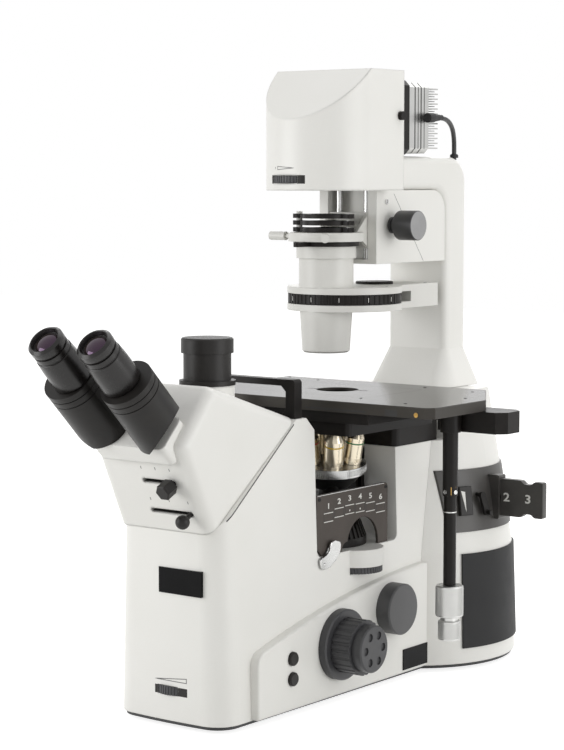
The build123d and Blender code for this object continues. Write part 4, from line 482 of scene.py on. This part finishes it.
rim_ribs = repeats("rim_ribs", [("Count", "Int"), ("Radius", "Float"), ("Rib", "Vector"), ("Material", "Material")])
given = add(rim_ribs, "NodeGroupInput")
circle = add(rim_ribs, "GeometryNodeMeshCircle", {"Vertices": given.outputs["Count"],
                                                  "Radius": given.outputs["Radius"]})
rib = add(rim_ribs, "GeometryNodeMeshCube", {"Size": given.outputs["Rib"]})
place = add(rim_ribs, "GeometryNodeInputPosition")
turn = add(rim_ribs, "FunctionNodeAlignRotationToVector", {"Vector": place.outputs[0]}, axis="X")
placed = add(rim_ribs, "GeometryNodeInstanceOnPoints", {"Points": circle.outputs["Mesh"],
                                                        "Instance": rib.outputs["Mesh"],
                                                        "Rotation": turn.outputs[0]})
close_repeats(rim_ribs, given, placed)


def standing(place, out):
    """Matrix that takes Z to a direction, at a place in mm."""
    return Matrix.Translation(at(*place)) @ Vector(out).to_track_quat("Z", "Y").to_matrix().to_4x4()


def knurl(shape, material, count, radius, rib, place):
    """Adds ribs round an axis to a mesh in the making."""
    values = {"Count": count, "Radius": radius * MM, "Rib": [v * MM for v in rib], "Material": material}
    ribs = grown("knurl", rim_ribs, values)
    ribs.transform(place)
    merge(shape, ribs)


def lathe(shape, profile, place, steps=40):
    """Adds a closed profile of (radius, height) in mm, turned round Z, to a mesh in the making."""
    turned = bmesh.new()
    near, sharp = 1e-7, 0.6
    rings = []
    for i in range(steps):
        a = 2 * pi * i / steps
        rings.append([turned.verts.new((r * MM * cos(a), r * MM * sin(a), z * MM)) for r, z in profile])
    for i in range(steps):
        for k in range(len(profile)):
            turned.faces.new((rings[i - 1][k - 1], rings[i][k - 1], rings[i][k], rings[i - 1][k]))
    bmesh.ops.remove_doubles(turned, verts=turned.verts, dist=near)
    bmesh.ops.dissolve_degenerate(turned, dist=near, edges=turned.edges)
    bmesh.ops.recalc_face_normals(turned, faces=turned.faces)
    for face in turned.faces:
        face.smooth = True
    for edge in turned.edges:
        edge.smooth = edge.calc_face_angle(0) < sharp
    bmesh.ops.transform(turned, matrix=place, verts=turned.verts)
    merge(shape, as_mesh("ring", turned))


def slab(shape, outline, thick, ease, place):
    """Adds a plate with eased edges to a mesh in the making. Sizes are in mm, and Z is through the plate."""
    plate = bmesh.new()
    low = [plate.verts.new((a * MM, b * MM, 0)) for a, b in outline]
    high = [plate.verts.new((a * MM, b * MM, thick * MM)) for a, b in outline]
    rims = list(plate.faces.new(low[::-1]).edges) + list(plate.faces.new(high).edges)
    for i in range(len(low)):
        plate.faces.new((low[i - 1], low[i], high[i], high[i - 1]))
    bmesh.ops.bevel(plate, geom=rims, offset=ease * MM, segments=2, affect="EDGES", profile=0.5)
    bmesh.ops.recalc_face_normals(plate, faces=plate.faces)
    bmesh.ops.transform(plate, matrix=place, verts=plate.verts)
    merge(shape, as_mesh("plate", plate))


lever_outline = [(-7.2, 5.6), (-6.8, 0.5), (-5, -3.6), (-1, -5.6), (6, -5.2), (11.6, -4.4), (16, -1.2), (19.5, 2.5),
                 (24, 5.2), (28.4, 8.3), (30.6, 13), (31, 18.4), (29.6, 21.4), (27.3, 22.6), (20, 23.9),
                 (16.8, 24.1), (13.2, 22.6), (11.5, 20), (10.8, 16.6), (10, 13.5), (7.4, 11.2), (3.2, 9.5), (-3, 8)]
pivot_y, pivot_z = -107, 156
lever = bmesh.new()
slab(lever, [(a + pivot_y, b + pivot_z) for a, b in lever_outline][::-1], 3, 0.9, lying(at(73.5, 0, 0), *side_face))
lathe(lever, [(0, 0), (2.8, 0), (2.8, 6.3), (0, 6.3)], standing((67.4, pivot_y, pivot_z), (1, 0, 0)), 24)
lathe(lever, [(0, 0), (1.7, 0), (1.7, 0.5), (1.3, 0.9), (0, 0.9)], standing((76.4, pivot_y, pivot_z), (1, 0, 0)), 24)
shutter = finished("shutter_dogleg", lever, "shutter_lever", steel)
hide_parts("shutter_lever")

grip = bmesh.new()
knurl(grip, nose_finish, 110, 42.0, (0.8, 1.1, 6), standing(nose_origin - Vector(nose_axis) * 7.2, nose_axis))
finished("nosepiece_knurl", grip, "objective_turret", steel)

# Objectives. Nickel plated brass barrels with a knurled band at the shoulder, a lacquered colour ring for the
# magnification and a coated front lens, as on any set of this kind.
nickel = solid_finish("satin_nickel", "CFC4AE", "D6CCB8", "E2DED6", 30, 0.5, 0.001, 0.24, 0.03, metallic=1, soft=0.3)
dress(nickel, "objectives")
lens_glass = solid_finish("coated_lens_glass", "1E1815", "2A211D", "241C22", 10, 2, 0.0005, 0.05, 0.01, soft=0.05,
                          shine=0.8, tint="D8B4E0")
ring_colours = {"red": "9E2A22", "yellow": "D9B21E", "green": "2F7A43", "blue": "2C6FA6"}
ring_order = ["yellow", "green", "red", "yellow", "green", "blue"]
tilt, side_turn, seat_radius = radians(8), radians(-45), 26
nose_x = Vector((-cos(tilt) * cos(side_turn), -cos(tilt) * sin(side_turn), sin(tilt)))
nose_y = Vector(nose_axis).cross(nose_x)
seats = []
for index in range(6):
    a = radians(60 * index)
    outward = nose_x * cos(a) + nose_y * sin(a)
    barrel = Vector(nose_axis) * cos(tilt) + outward * sin(tilt)
    seats.append((nose_origin + outward * seat_radius, barrel))
for colour, code in ring_colours.items():
    lacquer = solid_finish(colour + "_lacquer", code, code, code, 5, 0.5, 0.002, 0.3, 0.03, soft=0.1)
    band = bmesh.new()
    for (seat, barrel), wanted in zip(seats, ring_order):
        if wanted == colour:
            lathe(band, [(10.5, 24), (11.15, 24), (11.15, 25.6), (10.5, 25.6)], standing(seat, barrel))
    finished("objective_ring_" + colour, band, "objective_turret", lacquer)
grip, lens = bmesh.new(), bmesh.new()
for seat, barrel in seats:
    knurl(grip, nickel, 64, 11.0, (0.5, 0.6, 4), standing(seat + barrel * 5, barrel))
    lathe(lens, [(0, 42.2), (2.9, 42.2), (2.9, 42.7), (1.6, 43.3), (0, 43.5)], standing(seat, barrel), 24)
finished("objective_knurls", grip, "objective_turret", nickel)
finished("objective_lenses", lens, "objective_turret", lens_glass)

# Illuminator fittings. A moulded block on the band carries the diaphragm's white wedge scale. The filter slider is a
# black plate with two round windows, waisted before its end for the fingers, with numbers filled in white.


def pierced_plate(name, outline, holes, thick, ease, place):
    """A flat plate with round holes and eased edges. Sizes are in mm, and Z is through the plate's middle."""
    flat = bpy.data.curves.new(name, "CURVE")
    flat.dimensions = "2D"
    flat.fill_mode = "BOTH"
    flat.extrude = (thick / 2 - ease) * MM
    flat.bevel_depth = ease * MM
    flat.bevel_resolution = 1
    rounds = [[(a + (radius + ease) * cos(radians(10 * i)), b + (radius + ease) * sin(radians(10 * i)))
               for i in range(36)] for a, b, radius in holes]
    for ring in [outline] + rounds:
        line = flat.splines.new("POLY")
        line.points.add(len(ring) - 1)
        for point, (a, b) in zip(line.points, ring):
            point.co = (a * MM, b * MM, 0, 1)
        line.use_cyclic_u = True
    plate = bmesh.new()
    merge(plate, plain_mesh(in_scene(name, flat)))
    bmesh.ops.remove_doubles(plate, verts=plate.verts, dist=0.001 * MM)
    bmesh.ops.recalc_face_normals(plate, faces=plate.faces)
    bmesh.ops.transform(plate, matrix=place, verts=plate.verts)
    return as_mesh(name, plate)


band_out = Vector((0.88, -0.43, 0.155))
block_place = lying(spot("illuminator_band", Vector((102.5, 133.8, 199)) + 40 * band_out, -band_out),
                    (0.43, 0.88, 0), (-0.14, 0.07, 0.99))
scale_block, scale_wedge = bmesh.new(), bmesh.new()
slab(scale_block, [(-8.5, -17), (8.5, -17), (8.5, 17), (-8.5, 17)], 7.5, 0.8,
     block_place @ Matrix.Translation((0, 0, -2 * MM)))
slab(scale_wedge, [(-6.5, 12), (-1, 10.5), (-1, -13)], 0.3, 0.05, block_place @ Matrix.Translation((0, 0, 5.35 * MM)))
finished("diaphragm_block", scale_block, "stand", black_abs_and_slot_shade)
finished("diaphragm_wedge", scale_wedge, "stand", white_ink)
ink = bmesh.new()
for mark, x in (("2", 132), ("3", 161)):
    ink_number(ink, mark, 14, 1.25, spot("filter_slider", (x, 100, 200), (0, 1, 0)), *front_face)
finished("slider_numbers", ink, "filter_slider", white_ink)
slider_top = [(60.6, 21.4), (149.5, 21.4), (152, 20.4), (154.5, 18), (157, 17), (163.5, 17), (166, 17.8), (168, 19.6),
              (170, 20.8), (178.5, 20.8), (180, 20.2), (180.4, 18.8)]
slider_edge = slider_top + [(x, -z) for x, z in reversed(slider_top)]
slider_windows = [(78, 0, 12), (112, 0, 12)]
slider_mesh = pierced_plate("slider_plate", slider_edge, slider_windows, 9, 0.6, lying(at(0, 185, 200), *front_face))
slider = finished("slider_plate", slider_mesh, "filter_slider", band_plastic)
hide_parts("filter_slider")

# Observation head. The head and its tube bridge are enamelled castings. A thin dark line on the housing beside the
# joint is painted shadow, standing for the shade in the joint. The ocular tubes are black moulded covers, the eyepieces
# black brass, and the phototube has a dust cap.
dress(soft_enamel, "observation_head", "tube_bridge")
# Painted shadow: a dark line along each side of the housing, just under the head's joint.
joint_ends = [(-266, 223.1), (-151, 313.2)]
joint_shadow_line = bmesh.new()
for side in (1, -1):
    ink_lines(joint_shadow_line, "main_housing", (75 * side, 0, 0), (0, side, 0), (0, 0, 1),
              [(False, [(side * y, z) for y, z in joint_ends])], 1.4)
finished("head_joint_line", joint_shadow_line, "stand", print_and_shade_ink)
dress(black_abs_and_slot_shade, "selector_knob", "light_path_lever", "phototube_cap", "phototube", "tube_left", "tube_right")
ocular_black = solid_finish("polished_black_brass", "141211", "1A1716", "332F2C", 14, 0.5, 0.006, 0.3, 0.05,
                            shine=0.4, soft=0.3)
eye_profile = [(0, 60), (14.8, 60), (14.8, 78.6), (20.2, 78.6), (20.9, 79.4), (20.6, 104), (19.7, 117), (18.4, 117.6),
               (18.4, 118.4), (18.9, 119), (18.9, 124.4), (17.2, 125), (17.2, 126.6), (19, 127.4), (19.2, 128.2),
               (19.2, 134.2), (18.1, 135.3), (16.4, 137), (15.4, 136.4), (14, 131.6), (0, 131.6)]


def slot_shade_lining(shape, length, width, deep, wall, place):
    """Adds a thin dark lining in a slot with round ends, as painted shade for its depth. Sizes are in mm, and Z is out
    of the face.
    """
    ring = bmesh.new()
    loops = []
    for lift, inset in ((-0.3, 0.02), (-0.3, wall), (-deep, wall), (-deep, 0.02)):
        radius = width / 2 - inset
        corners = []
        for end, start in (((length - width) / 2, -90), ((width - length) / 2, 90)):
            for step in range(9):
                a = radians(start + 22.5 * step)
                corners.append(ring.verts.new(((end + radius * cos(a)) * MM, radius * sin(a) * MM, lift * MM)))
        loops.append(corners)
    for k in range(4):
        for i in range(len(loops[0])):
            ring.faces.new((loops[k - 1][i - 1], loops[k - 1][i], loops[k][i], loops[k][i - 1]))
    bmesh.ops.recalc_face_normals(ring, faces=ring.faces)
    bmesh.ops.transform(ring, matrix=place, verts=ring.verts)
    merge(shape, as_mesh("lining", ring))


# Painted shade: dark linings in the two lever slots stand for the shade in their depth.
lining = bmesh.new()
head_out, aside = Vector((0, -0.905006, -0.425399)), 7
for x, y, z, travel in ((15, -302.6, 265, 38), (19, -287.1, 232, 50)):
    beside = Vector((x, y, z)) + Vector(head_up) * aside + head_out * 30
    mouth = spot("observation_head", beside, -head_out) - Vector(head_up) * aside * MM
    slot_shade_lining(lining, travel + 7, 6, 11.8, 0.22, lying(mouth, (1, 0, 0), head_up))
finished("slot_linings", lining, "stand", black_abs_and_slot_shade)
tube_way = (0, -0.707107, 0.707107)
for side, x in (("left", -32.5), ("right", 32.5)):
    seat = standing((x, -332, 319.5), tube_way)
    barrel = bmesh.new()
    lathe(barrel, eye_profile, seat, 64)
    ocular = finished("ocular_" + side, barrel, "eyepiece_" + side, ocular_black)
    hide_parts("eyepiece_" + side)
    glass = bmesh.new()
    lathe(glass, [(0, 131.4), (12.8, 131.4), (12.8, 131.8), (12, 132.6), (10, 133.8), (7.5, 134.8), (5, 135.4),
                  (2.2, 135.8), (0, 135.9)], seat, 64)
    finished("eye_lens_" + side, glass, "eyepiece_" + side, lens_glass)

# Stage. Its plates, carriage and control rod are black anodised aluminium; the two drive knobs are
# straight-knurled aluminium. A brass screw sits in the top plate's front edge and a brass clip on the rod.
silver = solid_finish("clear_anodised_aluminium", "B9B9B7", "C3C3C1", "DADAD8", 40, 0.6, 0.001, 0.34, 0.03, metallic=1,
                      soft=0.12)
brass = solid_finish("plain_brass", "A8864C", "B79355", "D6B67A", 4, 0.3, 0.004, 0.3, 0.05, metallic=1, soft=0.2)
top_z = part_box("stage_top")[1][2] / MM
satin_anodised = solid_finish("satin_black_anodised_aluminium", "2B2927", "32302D", "4A4744", 30, 0.6, 0.003, 0.42,
                              0.03, zone=((0, 0, 1), top_z - 0.2, "1F1C1A", "272320", 0.18, 0), shine=0.35,
                              tint="FFF7EC")
dress(anodised, "stage_frame", "stage_fixed_plate", "stage_carriage", "guard_bracket")
dress(satin_anodised, "stage_top", "stage_insert")
rod_x, rod_y = 172, -5
for level, radius, low, high in (("upper", 15.2, 94.8, 129.2), ("lower", 12.2, 68.4, 94.2)):
    neck = 4 if level == "lower" else 0
    knob = bmesh.new()
    lathe(knob, [(4.4, low), (radius - 0.8, low), (radius, low + 0.8), (radius, high - neck - 1),
                 (radius - 1, high - neck), (radius - 2.5, high - neck), (radius - 2.5, high), (4.4, high)],
          standing((rod_x, rod_y, 0), (0, 0, 1)), 72)
    knurl(knob, silver, 120, radius, (0.5, 0.4, high - low - neck - 4),
          standing((rod_x, rod_y, (low + high - neck) / 2), (0, 0, 1)))
    drive = finished("drive_knob_" + level, knob, "stage_knob_" + level, silver)
    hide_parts("stage_knob_" + level)
screws("stage_top_screws", "stage_table", black_screw, 1.8, 0.25,
       [(at(x, y, top_z), (0, 0, 1)) for x, y in
        ((-124, -90), (-124, 96), (-74, 86), (79, 85), (149, 76), (180, 12), (158, -73), (88, -56))])
# Painted shade: the dark strips on the stage's front edge stand for the shade inside its slots.
edge_slot_shade, insert_lugs = bmesh.new(), bmesh.new()
ink_lines(edge_slot_shade, "stage_top", (0, -99, 325.6), *front_face, [(False, [(44, 0), (124, 0)])], 2)
ink_lines(edge_slot_shade, "stage_top", (0, -99, 326.6), *front_face, [(False, [(149.5, 0), (165, 0)])], 6.8)
finished("stage_edge_slots", edge_slot_shade, "stage_table", print_and_shade_ink)
for near, far, wide in ((25, 31, 5), (31, 37, 2.4)):
    ink_lines(insert_lugs, "stage_insert", (11, 7, top_z), (0.975, 0.22, 0), (-0.22, 0.975, 0),
              [(False, [(near, 0), (far, 0)]), (False, [(-far, 0), (-near, 0)])], wide)
finished("insert_lugs", insert_lugs, "stage_table", print_and_shade_ink)
screws("stage_edge_screw", "stage_table", brass, 2.6, 0.6,
       [(spot("stage_top", (189, -130, 326.5), (0, 1, 0)), (0, -1, 0))])
rod_band = bmesh.new()
lathe(rod_band, [(6.5, 210), (7.25, 210), (7.25, 211.2), (6.5, 211.2)], standing((rod_x, rod_y, 0), (0, 0, 1)))
finished("rod_ring", rod_band, "stage_carriage", silver)
screws("rod_screws", "stage_carriage", steel, 2.4, 0.7,
       [(at(rod_x + 8.4 * cos(a), rod_y + 8.4 * sin(a), 233), (cos(a), sin(a), 0))
        for a in (radians(-100), radians(-15))])
rod_line = bmesh.new()
ink_lines(rod_line, "stage_carriage", (rod_x, rod_y, 234), (0.8, 0.6, 0), (0, 0, 1),
          [(False, [(0.5, -4), (0.5, 4.5), (6, 4.5)])], 0.8)
finished("rod_bracket", rod_line, "stage_carriage", brass)

# Arm and lamp. The pillar, the lamp head and the condenser block are enamelled castings; the lamp is a
# finned aluminium body on a black mount. The height knob is moulded nylon with a bright end face.
dress(enamel, "arm_pillar", "condenser_block")
dress(soft_enamel, "lamp_head")
dress(knob_plastic, "field_dial")
knob_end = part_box("condenser_knob")[1][0] / MM - 0.3
knob_finish = solid_finish("moulded_knob_nylon", "29292A", "303031", "4A4A4B", 16, 0.8, 0.03, 0.42, 0.05,
                           zone=((1, 0, 0), knob_end, "8E8E8E", "989898", 0.35, 0.7))
knob = bmesh.new()
lathe(knob, [(0, 0), (6, 0), (6, 9.6), (9.5, 10.2), (9.5, 13), (8, 13.6), (8, 19), (14.5, 20.5), (16.6, 21.4),
             (17, 22.4), (17, 45.8), (16, 46.8), (0, 46.8)], standing((31, 72, 521), (1, 0, 0)), 64)
focus_knob = finished("height_knob", knob, "condenser_knob", knob_finish)
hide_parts("condenser_knob")
dress(anodised, "lamp_mount")
dress(silver, "lamp_heatsink")
dress(steel, "guide_rods")
fin_stack = repeats("fin_stack", [("Count", "Int"), ("Pitch", "Vector"), ("Fin", "Vector"), ("Material", "Material")])
given = add(fin_stack, "NodeGroupInput")
row = add(fin_stack, "GeometryNodeMeshLine", {"Count": given.outputs["Count"], "Offset": given.outputs["Pitch"]})
fin = add(fin_stack, "GeometryNodeMeshCube", {"Size": given.outputs["Fin"]})
placed = add(fin_stack, "GeometryNodeInstanceOnPoints", {"Points": row.outputs["Mesh"],
                                                         "Instance": fin.outputs["Mesh"]})
close_repeats(fin_stack, given, placed)
fin_shape = bmesh.new()
for count, start, pitch, size in ((12, (0, 158, 613), (0, 0, 5.75), (66, 28, 0.7)),
                                  (4, (43.4, 115, 644.5), (0, 6.3, 0), (0.5, 1, 71))):
    values = {"Count": count, "Pitch": [v * MM for v in pitch], "Fin": [v * MM for v in size], "Material": black_screw}
    stack = grown("fins", fin_stack, values)
    stack.transform(Matrix.Translation(at(*start)))
    merge(fin_shape, stack)
finished("lamp_fins", fin_shape, "arm", black_screw)
ink = bmesh.new()
ink_lines(ink, "lamp_head", (-14, -69, 586), (0.99, -0.12, 0), (0, 0, 1),
          [(True, [(-4, 1.8), (-4, -1.8), (20, 0)]), (False, [(-8, -1.2), (-8, 1.2)])], 0.7)
finished("lamp_mark", ink, "arm", grey_ink)
# Painted shade: dark strips at both ends of the field dial's slot on the lamp head stand for the shade in its opening.
slot_shape = bmesh.new()
ink_lines(slot_shape, "lamp_head", (-7, -69, 573.4), *front_face,
          [(False, [(17.6, 0), (26.5, 0)]), (False, [(-21.5, 0), (-18.8, 0)])], 9.4)
finished("field_slot_end_shade", slot_shape, "arm", black_abs_and_slot_shade)
ink = bmesh.new()
ink_lines(ink, "condenser_block", (40, 108, 517), *side_face, [(False, [(-31, 40), (31, -39)])], 0.5)
finished("block_seam", ink, "arm", grey_ink)
screws("block_screw", "arm", steel, 3.2, 1.2,
       [(spot("condenser_block", (130, 62, 548), (-1, 0, 0)), (1, 0, 0))])

# Lamp lead. A short black PVC lead runs from the lamp's side gland down into the arm, held by a rubber relief
# that tapers on to it. Its whole length shows.
jacket = solid_finish("black_pvc_jacket", "171717", "1E1E1E", "2A2A2A", 6, 0.5, 0.01, 0.4, 0.05, soft=0.2)
route = [(50, 143, 645), (50, 160, 645.5), (48, 178, 643), (43, 196, 634), (37, 209, 621), (34, 214, 606),
         (34, 214, 590)]
lead = bpy.data.curves.new("lamp_lead_line", "CURVE")
lead.dimensions = "3D"
lead.bevel_depth = 2.8 * MM
lead.bevel_resolution = 6
lead.use_fill_caps = True
lead.resolution_u = 16
spline = lead.splines.new("NURBS")
spline.points.add(len(route) - 1)
for point, where in zip(spline.points, route):
    point.co = [*at(*where), 1]
spline.order_u = 3
spline.use_endpoint_u = True
lead.materials.append(jacket)
lead_piece = in_scene("lamp_lead_line", lead)
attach(lead_piece, "arm")
relief = bmesh.new()
lathe(relief, [(0, -12), (5.6, -12), (5.6, -1), (5.2, 0), (4.6, 1), (4.6, 4), (4.1, 5), (4.1, 8), (3.7, 9), (3.7, 12),
               (3.2, 13), (3.2, 18), (2.7, 18.5), (0, 18.5)], standing((50, 143, 645), (0, 1, 0.03)), 32)
lathe(relief, [(0, -1.5), (5, -1.5), (5, 1.5), (4, 3), (2.7, 3), (0, 3)], standing((34, 214, 600.5), (0, 0, 1)), 32)
gland = finished("lead_gland", relief, "arm", rubber)
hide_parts("lamp_lead")

# Condenser. The carriage, the tube and the turret case are enamelled; the turret wheel, the trays and the
# aperture lever are black anodised, and white lines on the wheel mark its stops.
grey_enamel = solid_finish("baked_grey_white_enamel", "D9D8D3", "D3D2CD", "E6E5E1", 90, 0.8, 0.012, 0.4, 0.05, soft=0.8)
dress(grey_enamel, "condenser_carriage", "condenser_tube")
dress(anodised, "condenser_turret", "aperture_lever", "filter_tray_1", "filter_tray_2", "filter_tray_3")
wheel_low, wheel_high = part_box("condenser_turret")
lines = bmesh.new()
wheel_z = (wheel_low[2] + wheel_high[2]) / 2 / MM
knurl(lines, white_ink, 12, 65.0, (0.3, 0.7, 5), standing((0, 36, wheel_z), (0, 0, 1)))
finished("wheel_lines", lines, "condenser_turret", white_ink)
for index in (1, 2, 3):
    node = f"filter_tray_{index}"
    tray_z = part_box(node)[1][2] / MM
    screws(f"tray_screw_{index}", node, steel, 1.8, 0.5, [(at(30, 0, tray_z), (0, 0, 1))])
case_z = 451.7
cover = bmesh.new()
lathe(cover, [(0, -0.5), (22, -0.5), (22, 2.2), (21, 3), (0, 3)], standing((0, 96, case_z), (0, 0, 1)), 64)
finished("case_cover", cover, "condenser", anodised)
screws("case_screws", "condenser", steel, 2.2, 0.6,
       [(at(x, y, case_z), (0, 0, 1)) for x, y in ((-50, 50), (50, 50), (-36, 150), (36, 150))])

low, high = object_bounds()
